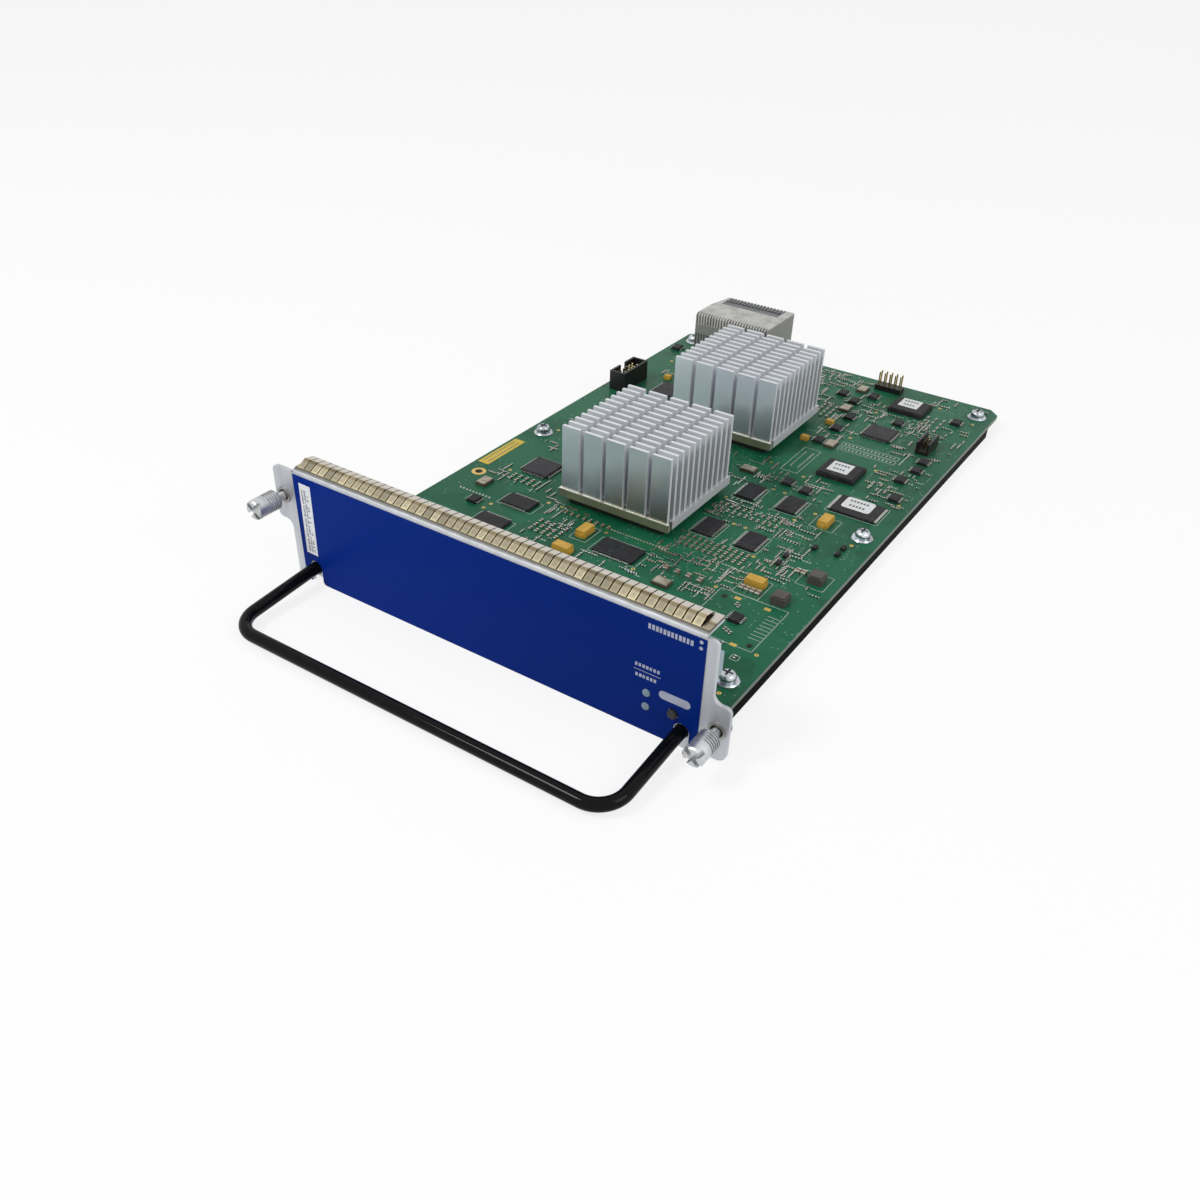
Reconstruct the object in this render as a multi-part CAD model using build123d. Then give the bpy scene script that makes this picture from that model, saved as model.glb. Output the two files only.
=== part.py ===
from build123d import *
import os

"""A plug-in line card for a network chassis, in millimetres.

X runs along the front panel, Y from the handle towards the rear connector, Z up. The drawing starts at
the panel's front face; every sub-part is then moved so that the origin is under the middle of the whole card.
"""

# Front panel
panel_thickness = 1.4
panel_half_width = 83.5
panel_height = 42.0
panel_corner = 1.6
ear_reach = 6.1
ear_length = 19.8
left_ear_bottom = 22.4
right_ear_bottom = 1.2
ear_corner = 2.0
ear_root = 3.0
screw_from_edge = 2.3
flange_from_edge = 3.8
flange_depth = 10.0
flange_bend = 2.0
hole_clearance = 0.25

# Printed film and label on the panel
film_thickness = 0.2
film_from_edge = 3.5
film_height = 41.5
arch_margin = 0.5
arch_foot = 1.5
label_width = 5.2
label_length = 27.4
label_thickness = 0.1
label_from_side = 5.0
label_z = 25.3
label_tilt = -1.2
corner_notch_height = 3.2

# Handle
handle_rod = 4.5
handle_from_edge = 9.0
handle_height = 6.1
handle_reach = 38.5
handle_drop = 3.2
handle_straight = 3.5
handle_bend = 9.5
handle_root_bend = 16.0
handle_tail = 6.0
nut_flats = 7.0
nut_thickness = 3.6
nut_clearance = 0.05

# Captive screws
screw_head = 7.0
screw_head_length = 10.2
screw_standoff = 3.8
screw_shank = 3.0
screw_tip = 6.0
screw_slot = 1.5
screw_slot_depth = 1.8
screw_chamfer = 0.5
grip_grooves = 5
grip_start = 1.0
grip_pitch = 1.0
grip_groove = 0.5
groove_depth = 0.4
neck_grooves = 4
neck_pitch = 0.75
neck_groove = 0.35
ferrule_flange = 6.0
ferrule_flange_thickness = 0.4
ferrule_body = 5.0
ferrule_length = 3.0
ferrule_mouth = 0.7
running_gap = 0.06
clip_outer = 6.4
clip_thickness = 0.6
clip_gap = 0.1
clip_groove_depth = 0.45
clip_opening = 1.7

# Finger gasket on the top flange
finger_tail = 3.2
finger_pitch = 3.05
finger_gap = 0.45
finger_shift = -1.0
finger_sheet = 0.18
finger_front = 1.5
finger_crest = 5.0
finger_crest_height = 1.9
finger_heel = 8.7
finger_heel_height = 1.2
finger_bend = 0.7
strip_margin = 0.2
strip_lap = 3.0

# Board, tray and the screws between them
board_from_edge = 2.3
board_front = 3.2
board_rear = 277.0
board_thickness = 1.8
board_top = 6.1
board_corner = 4.5
spare_holes = ((50.7, 69.8, 2.4), (71.2, 49.2, 2.4))
tooling_from_side = 7.2
tooling_y = 90.0
tooling_diameter = 3.0
relief_width = 9.6
relief_depth = 3.4
tray_sheet = 1.0
tray_rear = 270.0
tray_corner = 10.5
tray_wall_gap = 0.1
post_diameter = 5.5
post_bore = 2.6
screw_from_side = 7.2
screw_rows = (29.0, 134.5, 265.0)
board_hole = 3.6
pan_head = 5.8
pan_height = 2.7
pan_shank = 3.0
pan_recess = 0.8
washer_outer = 8.3
washer_thickness = 0.7
washer_slope = 0.45
shank_end = 1.6

# Corner brackets between the panel and the board
bracket_sheet = 1.2
bracket_width = 16.7
bracket_top = 33.0
bracket_lug_bottom = 25.0
bracket_lug = 7.6
bracket_web = 5.6
bracket_pad_bottom = 14.0
bracket_rail = 4.0
bracket_foot_start = 12.4
bracket_foot_length = 7.0
bracket_foot_width = 7.7
rivet_head = 2.6
rivet_head_height = 0.6
rivet_rows = (18.5, 28.5)

# Button and light pipes
button_from_handle = 3.2
button_z = 11.3
button_diameter = 3.2
button_proud = 1.2
button_travel = 0.6
button_cap_length = 4.2
stem_diameter = 2.0
button_gap = 0.1
switch_front = 7.2
switch_width = 6.6
switch_depth = 4.2
switch_height = 7.6
pipe_from_handle = 12.5
pipe_upper_z = 14.7
pipe_spacing = 5.1
pipe_diameter = 2.8
pipe_proud = 0.4
pipe_elbow = 7.6
pipe_block_depth = 2.8
lamp_size = 2.0
lamp_height = 0.9

# Heat sinks on their processors
sink_centre_x = -8.8
sink_rows = (113.1, 196.0)
sink_width = 47.5
sink_depth = 46.5
sink_base = 3.2
sink_ledge = 0.8
sink_height = 29.4
fin_count = 12
fin_thickness = 1.35
fin_columns = 5
column_gap = 2.0
package_size = 42.5
package_height = 2.3
lid_size = 36.0
lid_height = 0.6
pad_height = 0.2
frame_inset = 0.8

# Backplane connector
plug_from_side = 15.4
plug_width = 38.7
plug_front = 249.8
plug_rear = 279.0
plug_height = 21.4
plug_slots = 26
plug_slot = 0.75
plug_slot_run = 2.4
plug_slot_drop = 5.2
plug_tail_height = 11.5
plug_corner_run = 14.0
plug_corner_width = 2.6
plug_window_left = 3.6
plug_window_right = 4.2
plug_window_run = 10.5
plug_window_depth = 2.2
wafer_ribs = 17
wafer_rib = 1.1
wafer_seat = 5.5
cell_rows = 5
cell_columns = 12
cell_size = 1.5
cell_pitch = 2.6
cell_depth = 3.0

# Pin headers
pin_pitch = 2.54
pin_size = 0.64
box_from_side = 8.5
box_y = 200.5
box_width = 8.0
box_length = 20.2
box_height = 9.0
box_wall = 1.0
box_floor = 2.0
box_notch = 4.4
box_pin_rise = 8.0
post_header_x = 30.3
post_header_y = 268.5
post_header_base = 2.5
post_header_rise = 8.5
mini_x = 67.0
mini_y = 219.7
mini_width = 5.6
mini_length = 12.4
mini_height = 5.5
mini_wall = 0.8
mini_floor = 1.5
mini_pitch = 1.27
mini_pin = 0.4
mini_rise = 4.6
header_columns = 5
header_rows = 2

# Chip packages: width along X, length along Y, height
lead_width = 0.45
lead_reach = 1.1
lead_thickness = 0.25
lead_foot = 0.5
memory_size = (7.4, 12.2, 1.2)
memory_places = ((23.9, 106.6), (41.7, 106.6), (23.9, 140.3), (41.7, 140.3))
memory_leads = 11
driver_size = (13.0, 7.8, 1.2)
driver_places = ((-44.6, 78.9), (-44.6, 61.2))
driver_leads = 12
buffer_size = (17.2, 10.0, 1.2)
buffer_place = (5.6, 72.0)
buffer_leads = 18
flash_size = (18.2, 13.4, 1.1)
flash_place = (64.0, 153.2)
flash_leads = 22
quad_size = (12.4, 12.4, 1.5)
quad_places = ((-54.2, 106.8), (45.3, 221.2), (-52.0, 204.0))
quad_leads = 11
controller_size = (16.2, 14.6, 2.1)
controller_places = ((46.4, 177.3), (46.4, 253.9))
controller_lid = 0.3
small_chip_size = (3.9, 4.9, 1.5)
small_chip_places = (
    (-60.3, 70.3), (68.8, 252.4), (14.6, 251.4), (47.9, 236.0), (27.6, 228.8), (27.6, 214.6), (26.4, 199.3),
    (70.8, 206.6), (71.2, 197.6), (68.7, 186.0), (72.7, 169.6), (32.4, 156.6), (41.4, 154.2),
    (60.6, 59.6), (22.4, 246.0), (27.7, 256.4),
)
side_chip_from_side = 5.2
side_chip_y = 251.6
small_chip_leads = 4

# Stickers on the chips and the yellow label at the board's edge: width, length
sticker_thickness = 0.1
controller_sticker = (9.0, 9.0)
controller_sticker_places = ((45.6, 178.2), (45.6, 256.0))
flash_sticker = (11.8, 9.0)
flash_sticker_place = (63.6, 155.0)
flash_sticker_corner = 1.4
edge_sticker = (5.2, 25.5)
edge_sticker_from_side = 4.0
edge_sticker_y = 109.5

# Power and timing parts
inductor_size = (5.6, 5.8, 3.4)
inductor_places = ((72.9, 97.0), (68.0, 77.8))
inductor_corner = 0.6
coil_cap_height = 0.5
tantalum_size = (4.2, 7.2, 2.8)
tantalum_along_y = ((-11.6, 75.4), (58.4, 135.8))
tantalum_along_x = ((-11.4, 60.6), (56.2, 82.4))
tantalum_taper = 0.35
tantalum_foot = 0.3
small_tantalum_size = (3.4, 2.8, 1.8)
small_tantalum_places = ((22.6, 218.6), (20.4, 197.4), (-60.5, 216.6))
crystal_size = (4.6, 6.4, 1.4)
crystal_places = ((-66.0, 83.8), (22.4, 236.4), (20.4, 260.8), (32.2, 198.6))
crystal_side_places = ((14.4, 156.9), (29.2, 63.4))
crystal_lid = 0.35
chip_cap_size = (1.7, 2.4, 1.3)
chip_cap_rows = ((53.4, 77.2, 4, 2.1), (25.6, 72.2, 4, 4.6), (64.9, 98.4, 2, 2.2))
small_cap_size = (1.0, 1.9, 0.7)
small_cap_grids = (
    (20.5, 90.5, 11, 3, 2.5, 3.2), (18.5, 121.5, 11, 2, 2.6, 4.2), (-30.0, 66.0, 5, 3, 2.9, 3.4),
    (-26.0, 83.5, 8, 1, 2.8, 3.0), (12.8, 224.0, 3, 4, 2.9, 3.6), (56.5, 238.0, 3, 4, 3.6, 4.2),
    (-60.0, 92.8, 5, 2, 3.0, 3.0), (60.6, 172.5, 3, 2, 3.4, 4.6),
)
diode_size = (1.6, 2.7, 1.2)
diode_places = ((56.7, 99.4), (56.7, 105.2), (62.8, 116.8), (71.6, 117.4), (71.6, 122.6))


def box_on(x, y, size, z=board_top):
    """A block that stands on the level z with its middle at x, y."""
    return Pos(x, y, z) * Box(*size, align=(Align.CENTER, Align.CENTER, Align.MIN))


def block(x0, x1, y0, y1, z0, z1):
    """A block between two corners."""
    return Pos((x0 + x1) / 2, (y0 + y1) / 2, (z0 + z1) / 2) * Box(x1 - x0, y1 - y0, z1 - z0)


def rod_y(x, y0, y1, z, diameter):
    """A round bar along Y."""
    return Pos(x, (y0 + y1) / 2, z) * Rot(90, 0, 0) * Cylinder(diameter / 2, y1 - y0)


def post(x, y, z0, z1, diameter):
    """A round bar along Z."""
    return Pos(x, y, (z0 + z1) / 2) * Cylinder(diameter / 2, z1 - z0)


def upright(sketch, y0, y1):
    """Extrudes a sketch drawn in X and Z from y0 back to y1."""
    return Pos(0, y0, 0) * extrude(Plane.XZ * sketch, amount=y0 - y1)


def corner(sketch, x, z, radius):
    """Rounds the corner of a sketch that lies nearest to x, z."""
    nearest = min(sketch.vertices(), key=lambda v: (v.X - x) ** 2 + (v.Y - z) ** 2)
    return fillet(nearest, radius)


def rect(x0, x1, z0, z1):
    """A rectangle between two corners of the X and Z sketch."""
    return Pos((x0 + x1) / 2, (z0 + z1) / 2) * Rectangle(x1 - x0, z1 - z0)


def disc(x, z, diameter):
    """A round hole or disc in the X and Z sketch."""
    return Pos(x, z) * Circle(diameter / 2)


def save(name, shapes):
    """Moves one sub-part to the card's origin and writes it. It may be several separate solids."""
    solids = [Pos(0, -depth_middle, 0) * solid for shape in shapes for solid in shape.solids()]
    export_step(solids[0] if len(solids) == 1 else Compound(children=solids), f"parts/{name}.step")


film_half_width = panel_half_width - film_from_edge
label_x = label_from_side - film_half_width
flange_half_width = panel_half_width - flange_from_edge
strip_half_width = flange_half_width - strip_margin
finger_count = int((2 * strip_half_width - finger_tail) / finger_pitch)
handle_half_span = panel_half_width - handle_from_edge
button_x = handle_half_span - button_from_handle
pipe_x = handle_half_span - pipe_from_handle
board_half_width = panel_half_width - board_from_edge
bracket_inner = board_half_width - bracket_width
screw_x = board_half_width - screw_from_side
plug_left = plug_from_side - board_half_width
plug_right = plug_left + plug_width
box_x = box_from_side - board_half_width
edge_sticker_place = (edge_sticker_from_side - board_half_width, edge_sticker_y)
tooling_hole = (tooling_from_side - board_half_width, tooling_y, tooling_diameter)
side_chip_place = (side_chip_from_side - board_half_width, side_chip_y)
left_screw = (-(panel_half_width + screw_from_edge), left_ear_bottom + ear_length / 2 - 0.7)
right_screw = (panel_half_width + screw_from_edge, right_ear_bottom + ear_length / 2 + 0.7)
depth_middle = (plug_rear - handle_reach - handle_rod / 2) / 2
flange_top = panel_height - 0.3 + flange_bend
lower_pipe_z = pipe_upper_z - pipe_spacing
arch_width = handle_rod + 2 * arch_margin
arch_height = handle_height + arch_width / 2
bracket_screw_x = bracket_inner + (bracket_sheet + bracket_foot_width) / 2
bracket_screw_y = bracket_foot_start + bracket_foot_length / 2
board_bottom = board_top - board_thickness
seat_z = board_top + package_height + lid_height + pad_height


def ear(side, bottom):
    """The sheet of one ear, overlapping the main plate."""
    inner = side * (panel_half_width - ear_root)
    outer = side * (panel_half_width + ear_reach)
    return rect(min(inner, outer), max(inner, outer), bottom, bottom + ear_length)


def arch(x, width, height):
    """A slot with a round top, open at the panel's lower edge."""
    return rect(x - width / 2, x + width / 2, -1, height - width / 2) + disc(x, height - width / 2, width)


def make_faceplate():
    """One folded sheet: main plate, two ears, bent top flange, and the holes through it."""
    main = rect(-panel_half_width, panel_half_width, 0, panel_height)
    plate = main + ear(-1, left_ear_bottom) + ear(1, right_ear_bottom)
    ear_edge = panel_half_width + ear_reach
    for x, z, radius in (
        (-ear_edge, left_ear_bottom + ear_length, ear_corner),
        (-ear_edge, left_ear_bottom, ear_corner),
        (-panel_half_width, left_ear_bottom, ear_root),
        (panel_half_width, panel_height, panel_corner),
        (panel_half_width, right_ear_bottom + ear_length, ear_root),
        (ear_edge, right_ear_bottom + ear_length, ear_corner),
        (ear_edge, right_ear_bottom, ear_root),
    ):
        plate = corner(plate, x, z, radius)
    notch_left = -handle_half_span - arch_width / 2
    cuts = rect(notch_left, notch_left + arch_width, -1, corner_notch_height)
    holes = [
        disc(*left_screw, ferrule_body),
        disc(*right_screw, ferrule_body),
        disc(button_x, button_z, button_diameter + 2 * button_gap),
        disc(pipe_x, pipe_upper_z, pipe_diameter),
        disc(pipe_x, lower_pipe_z, pipe_diameter),
    ]
    holes += [disc(side * handle_half_span, handle_height, handle_rod + 2 * hole_clearance) for side in (-1, 1)]
    for cut in [cuts] + holes:
        plate = plate - cut
    sheet = upright(plate, 0, panel_thickness)
    bend_z = flange_top - flange_bend
    inner = flange_bend - panel_thickness
    trim = block(-flange_half_width, flange_half_width, -1, panel_thickness + 1, bend_z, panel_height + 1)
    bend = Circle(flange_bend) - Circle(inner)
    bend = bend & (Pos(-flange_bend / 2, flange_bend / 2) * Rectangle(flange_bend, flange_bend))
    lip = Pos(flange_bend, bend_z) * bend
    lip += rect(flange_bend, flange_depth, flange_top - panel_thickness, flange_top)
    fold = Pos(-flange_half_width, 0, 0) * extrude(Plane.YZ * lip, amount=2 * flange_half_width)
    return (sheet - trim) + fold


def make_film():
    """The printed film with its two arches, the button hole and the two lamp windows."""
    film = rect(-film_half_width, film_half_width, 0, film_height)
    for side in (-1, 1):
        film -= arch(side * handle_half_span, arch_width, arch_height)
    film = corner(film, -handle_half_span + arch_width / 2, 0, arch_foot)
    film -= disc(button_x, button_z, button_diameter + 4 * button_gap)
    film -= disc(pipe_x, pipe_upper_z, pipe_diameter)
    film -= disc(pipe_x, lower_pipe_z, pipe_diameter)
    return upright(film, -film_thickness, 0)


def make_label():
    """The white label, set down a little askew."""
    paper = Pos(label_x, label_z) * Rot(0, 0, label_tilt) * Rectangle(label_width, label_length)
    return upright(paper, -film_thickness - label_thickness, -film_thickness)


def make_handle():
    """A round bar bent into a U, with straight ends that pass through the panel."""
    points = []
    for side in (-1, 1):
        x = side * handle_half_span
        leg = [(x, handle_tail, handle_height), (x, -handle_straight, handle_height), (x, -handle_reach, handle_drop)]
        points += leg if side < 0 else leg[::-1]
    path = FilletPolyline(*points, radius=[handle_root_bend, handle_bend, handle_bend, handle_root_bend])
    section = Plane(origin=path @ 0, z_dir=path % 0) * Circle(handle_rod / 2)
    return sweep(section, path=path)


def make_handle_nut(side):
    """A hexagon nut that draws the end of the handle against the panel."""
    nut = RegularPolygon(nut_flats / 2, 6, major_radius=False) - Circle(handle_rod / 2 + nut_clearance)
    place = Pos(side * handle_half_span, handle_height) * nut
    return upright(place, panel_thickness, panel_thickness + nut_thickness)


def groove_ring(x, middle, z, width, diameter, depth):
    """The ring that a groove of this width and depth takes off a round bar along Y."""
    ring = rod_y(x, middle - width / 2, middle + width / 2, z, diameter + 1)
    return ring - rod_y(x, middle - width, middle + width, z, diameter - 2 * depth)


def make_captive_screw(x, z):
    """A turned screw: head grooved behind, crossed slots, ringed neck, clip groove and chamfered tip."""
    back = -screw_standoff
    front = back - screw_head_length
    head = rod_y(x, front, back, z, screw_head)
    head = chamfer(head.edges().filter_by(GeomType.CIRCLE), screw_chamfer)
    for turn in range(grip_grooves):
        head -= groove_ring(x, back - grip_start - turn * grip_pitch, z, grip_groove, screw_head, groove_depth)
    for angle in (45, 135):
        slot = Box(screw_head + 1, 2 * screw_slot_depth, screw_slot)
        head -= Pos(x, front, z) * Rot(0, angle, 0) * slot
    shank = rod_y(x, back - 0.5, screw_tip, z, screw_shank)
    tip = shank.edges().filter_by(GeomType.CIRCLE).sort_by(Axis.Y)[-1]
    shank = chamfer(tip, screw_chamfer / 2)
    for turn in range(neck_grooves):
        shank -= groove_ring(x, back + (turn + 0.7) * neck_pitch, z, neck_groove, screw_shank, neck_groove / 2)
    seat = ferrule_length + clip_gap + clip_thickness / 2
    return head + (shank - groove_ring(x, seat, z, clip_thickness + clip_gap, screw_shank, clip_groove_depth))


def make_ferrule(x, z):
    """A flanged ring pressed into the ear, with a countersunk mouth round the screw."""
    ring = rod_y(x, -ferrule_flange_thickness, 0, z, ferrule_flange)
    ring += rod_y(x, 0, ferrule_length, z, ferrule_body)
    ring -= rod_y(x, -1, ferrule_length + 1, z, screw_shank + 2 * running_gap)
    mouth = Cone(screw_shank / 2 + ferrule_mouth, screw_shank / 2, 2 * ferrule_mouth)
    return ring - Pos(x, ferrule_mouth - ferrule_flange_thickness, z) * Rot(-90, 0, 0) * mouth


def make_clip(x, z):
    """The open retaining clip that sits in the screw's groove behind the ferrule."""
    start = ferrule_length + clip_gap
    ring = Circle(clip_outer / 2) - Circle(screw_shank / 2 - clip_groove_depth + running_gap)
    ring -= Pos(0, -clip_outer / 2) * Rectangle(clip_opening, clip_outer)
    return upright(Pos(x, z) * ring, start, start + clip_thickness)


def make_gasket():
    """A pressed strip of spring fingers that hooks round the rear edge of the flange."""
    half = finger_sheet / 2
    base = flange_top + half
    under = flange_top - panel_thickness - half
    hook = Polyline(
        (finger_front, base), (flange_depth + half, base), (flange_depth + half, under),
        (flange_depth - strip_lap, under),
    )
    strip = trace(hook, line_width=finger_sheet)
    solid = Pos(-strip_half_width, 0, 0) * extrude(Plane.YZ * strip, amount=2 * strip_half_width)
    rise = FilletPolyline(
        (finger_front, base), (finger_crest, flange_top + finger_crest_height),
        (finger_heel, flange_top + finger_heel_height), (flange_depth - half, base + finger_sheet),
        radius=finger_bend,
    )
    profile = Plane.YZ * trace(rise, line_width=finger_sheet)
    finger = extrude(profile, amount=finger_pitch - finger_gap)
    first = finger_shift - finger_count * finger_pitch / 2 + finger_gap / 2
    return solid + [Pos(first + number * finger_pitch, 0, 0) * finger for number in range(finger_count)]


def screw_places():
    """Where the board is screwed down: three rows, plus one screw through each bracket foot."""
    places = [(side * screw_x, y) for y in screw_rows for side in (-1, 1)]
    return places, [(side * bracket_screw_x, bracket_screw_y) for side in (-1, 1)]


def make_board():
    """The printed circuit board with its corners cut, holes, and reliefs round the handle's nuts."""
    outline = Pos(0, (board_front + board_rear) / 2) * Rectangle(2 * board_half_width, board_rear - board_front)
    rear = outline.vertices().group_by(Axis.Y)[-1]
    outline = chamfer(rear, board_corner)
    for side in (-1, 1):
        outline -= Pos(side * handle_half_span, board_front) * Rectangle(relief_width, 2 * relief_depth)
    board_screws, foot_screws = screw_places()
    for x, y in board_screws + foot_screws:
        outline -= Pos(x, y) * Circle(board_hole / 2)
    for x, y, diameter in spare_holes + (tooling_hole,):
        outline -= Pos(x, y) * Circle(diameter / 2)
    return Pos(0, 0, board_bottom) * extrude(outline, amount=board_thickness)


def make_tray():
    """A shallow folded pan, open at the front, with rounded rear corners."""
    outline = Pos(0, (board_front + tray_rear) / 2) * Rectangle(2 * board_half_width, tray_rear - board_front)
    outline = fillet(outline.vertices().group_by(Axis.Y)[-1], tray_corner)
    inside = offset(outline, amount=-tray_sheet)
    inside += Pos(0, board_front) * Rectangle(2 * (board_half_width - tray_sheet), 4 * tray_sheet)
    pan = extrude(outline, amount=board_bottom - tray_wall_gap)
    return pan - Pos(0, 0, tray_sheet) * extrude(inside, amount=board_top)


def make_standoff(x, y):
    """A threaded post pressed into the tray floor."""
    return post(x, y, tray_sheet, board_bottom, post_diameter) - post(x, y, tray_sheet, board_top, post_bore)


def make_pan_screw(x, y, seat):
    """A pan-head screw with crossed slots; its shank fills the post's thread."""
    head = post(x, y, seat, seat + pan_height, pan_head)
    head = fillet(head.edges().filter_by(GeomType.CIRCLE).sort_by(Axis.Z)[-1], pan_height * 0.6)
    for angle in (0, 90):
        head -= Pos(x, y, seat + pan_height) * Rot(0, 0, angle) * Box(pan_head * 0.62, pan_recess, pan_height)
    upper = post(x, y, board_bottom, seat, pan_shank)
    return head + upper + post(x, y, shank_end, board_bottom, post_bore)


def make_washer(x, y):
    """A conical lock washer under the screw head."""
    ring = post(x, y, board_top, board_top + washer_thickness, washer_outer)
    ring = chamfer(ring.edges().filter_by(GeomType.CIRCLE).sort_by(Axis.Z)[-1], washer_slope)
    return ring - post(x, y, board_top - 1, board_top + washer_thickness + 1, pan_shank + 0.2)


def make_bracket(side):
    """A folded bracket: a pad riveted to the panel, a web with a foot on the board, and a lug at its outer end."""
    inner = bracket_inner
    outer = board_half_width
    front = panel_thickness
    foot_end = bracket_foot_start + bracket_foot_length
    foot_edge = inner + bracket_foot_width
    bracket = block(inner, outer, front, front + bracket_sheet, bracket_pad_bottom, bracket_top)
    bracket += block(inner, inner + bracket_sheet, front, front + bracket_web, board_top, bracket_top)
    bracket += block(inner, inner + bracket_sheet, front, foot_end, board_top, board_top + bracket_rail)
    bracket += block(inner, foot_edge, bracket_foot_start, foot_end, board_top, board_top + bracket_sheet)
    bracket += block(outer - bracket_sheet, outer, front, front + bracket_lug, bracket_lug_bottom, bracket_top)
    bracket -= post(bracket_screw_x, bracket_screw_y, 0, board_top + bracket_rail, board_hole)
    for z in rivet_rows:
        bracket -= rod_y((inner + outer) / 2, 0, front + bracket_sheet + 1, z, rivet_head / 2)
    return bracket if side > 0 else mirror(bracket, about=Plane.YZ)


def make_rivet(side, z):
    """A rivet through the bracket's pad, headed on the inside and flush with the panel."""
    x = side * (board_half_width + bracket_inner) / 2
    back = panel_thickness + bracket_sheet
    return rod_y(x, panel_thickness, back, z, rivet_head / 2) + rod_y(x, back, back + rivet_head_height, z, rivet_head)


def make_button():
    """The cap that shows in the panel and the thin stem that reaches the switch."""
    front = -button_proud
    cap = rod_y(button_x, front, front + button_cap_length, button_z, button_diameter)
    cap = fillet(cap.edges().filter_by(GeomType.CIRCLE).sort_by(Axis.Y)[0], button_diameter / 8)
    return cap + rod_y(button_x, front + button_cap_length - 0.2, switch_front + 0.8, button_z, stem_diameter)


def make_switch():
    """The switch on the board, with a bore that takes the button's stem and its travel."""
    body = box_on(button_x, switch_front + switch_depth / 2, (switch_width, switch_depth, switch_height))
    body = chamfer(body.edges().group_by(Axis.Z)[-1], 0.4)
    depth = 0.8 + button_travel + 0.4
    return body - rod_y(button_x, switch_front - 1, switch_front + depth, button_z, stem_diameter + 0.2)


def make_light_pipes():
    """One clear moulding: two round pipes that turn down to the lamps on the board."""
    rear = pipe_elbow + pipe_block_depth
    half = pipe_diameter / 2
    pipes = block(pipe_x - half, pipe_x + half, pipe_elbow, rear, board_top + lamp_height, pipe_upper_z + half)
    for z in (pipe_upper_z, lower_pipe_z):
        pipe = rod_y(pipe_x, -film_thickness - pipe_proud, pipe_elbow, z, pipe_diameter - 0.1)
        pipes += fillet(pipe.edges().filter_by(GeomType.CIRCLE).sort_by(Axis.Y)[0], pipe_proud)
    slope = Pos(pipe_x, rear, pipe_upper_z + half) * Rot(45, 0, 0) * Box(pipe_diameter + 1, 1.8, 1.8)
    return pipes - slope


def make_heat_sink(y):
    """A base plate with a field of upright fins, cut across into columns and set in from its edges."""
    x0 = sink_centre_x - sink_width / 2
    y0 = y - sink_depth / 2
    plate = (sink_width + 2 * sink_ledge, sink_depth + 2 * sink_ledge, sink_base)
    base = box_on(sink_centre_x, y, plate, seat_z)
    column = (sink_width - (fin_columns - 1) * column_gap) / fin_columns
    pitch = (sink_depth - fin_thickness) / (fin_count - 1)
    fin = Box(column, fin_thickness, sink_height - sink_base, align=(Align.MIN, Align.MIN, Align.MIN))
    fins = [
        Pos(x0 + i * (column + column_gap), y0 + j * pitch, seat_z + sink_base) * fin
        for i in range(fin_columns) for j in range(fin_count)
    ]
    return base + fins


def make_package(y):
    """The processor: a square substrate with a raised metal lid."""
    body = box_on(sink_centre_x, y, (package_size, package_size, package_height))
    return body + box_on(sink_centre_x, y, (lid_size, lid_size, lid_height), board_top + package_height)


def make_thermal_pad(y):
    """The thin pad between lid and heat sink."""
    side = lid_size - 2 * frame_inset
    return box_on(sink_centre_x, y, (side, side, pad_height), board_top + package_height + lid_height)


def plug_slot_places():
    """The middles of the slots along the connector's front edge."""
    pitch = (plug_right - plug_left) / plug_slots
    return [plug_left + pitch * (number + 0.5) for number in range(plug_slots)]


def make_plug():
    """The moulded connector shell: two combs of slots in front, a window on top, cells at the rear."""
    top = board_top + plug_height
    outline = Polyline(
        (plug_left, plug_front), (plug_right, plug_front), (plug_right, plug_rear),
        (plug_left + plug_corner_width, plug_rear), (plug_left, plug_rear - plug_corner_run), close=True,
    )
    shell = Pos(0, 0, board_top) * extrude(make_face(outline), amount=plug_height)
    shell = chamfer(shell.edges().filter_by(Axis.X).group_by(Axis.Z)[-1].sort_by(Axis.Y)[0], 0.8)
    cuts = []
    for x in plug_slot_places():
        x0 = x - plug_slot / 2
        x1 = x + plug_slot / 2
        cuts.append(block(x0, x1, plug_front - 1, plug_front + plug_slot_run, top - plug_slot_drop, top + 1))
        cuts.append(block(x0, x1, plug_front - 1, plug_front + plug_slot_run, board_top, board_top + plug_tail_height))
    window_front = plug_rear - plug_window_run
    left = plug_left + plug_window_left
    right = plug_right - plug_window_right
    cuts.append(block(left, right, window_front, plug_rear + 1, top - plug_window_depth, top + 1))
    for row in range(cell_rows):
        for column in range(cell_columns):
            x = (plug_left + plug_right) / 2 + (column - (cell_columns - 1) / 2) * cell_pitch
            z = board_top + 2.6 + row * cell_pitch
            cuts.append(Pos(x, plug_rear, z) * Box(cell_size, 2 * cell_depth, cell_size))
    return shell - cuts


def make_wafers():
    """The grey insert in the connector's window, with upright ribs along its rear half."""
    top = board_top + plug_height
    left = plug_left + plug_window_left
    right = plug_right - plug_window_right
    front = plug_rear - plug_window_run
    insert = block(left, right, front, front + wafer_seat, top - plug_window_depth, top - 0.5)
    insert += block(left, right, front, plug_rear, top - plug_window_depth, top - plug_window_depth + 0.6)
    pitch = (right - left) / wafer_ribs
    for number in range(wafer_ribs):
        x = left + pitch * (number + 0.5)
        insert += block(x - wafer_rib / 2, x + wafer_rib / 2, front + wafer_seat, plug_rear, top - plug_window_depth, top)
    return insert


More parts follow.
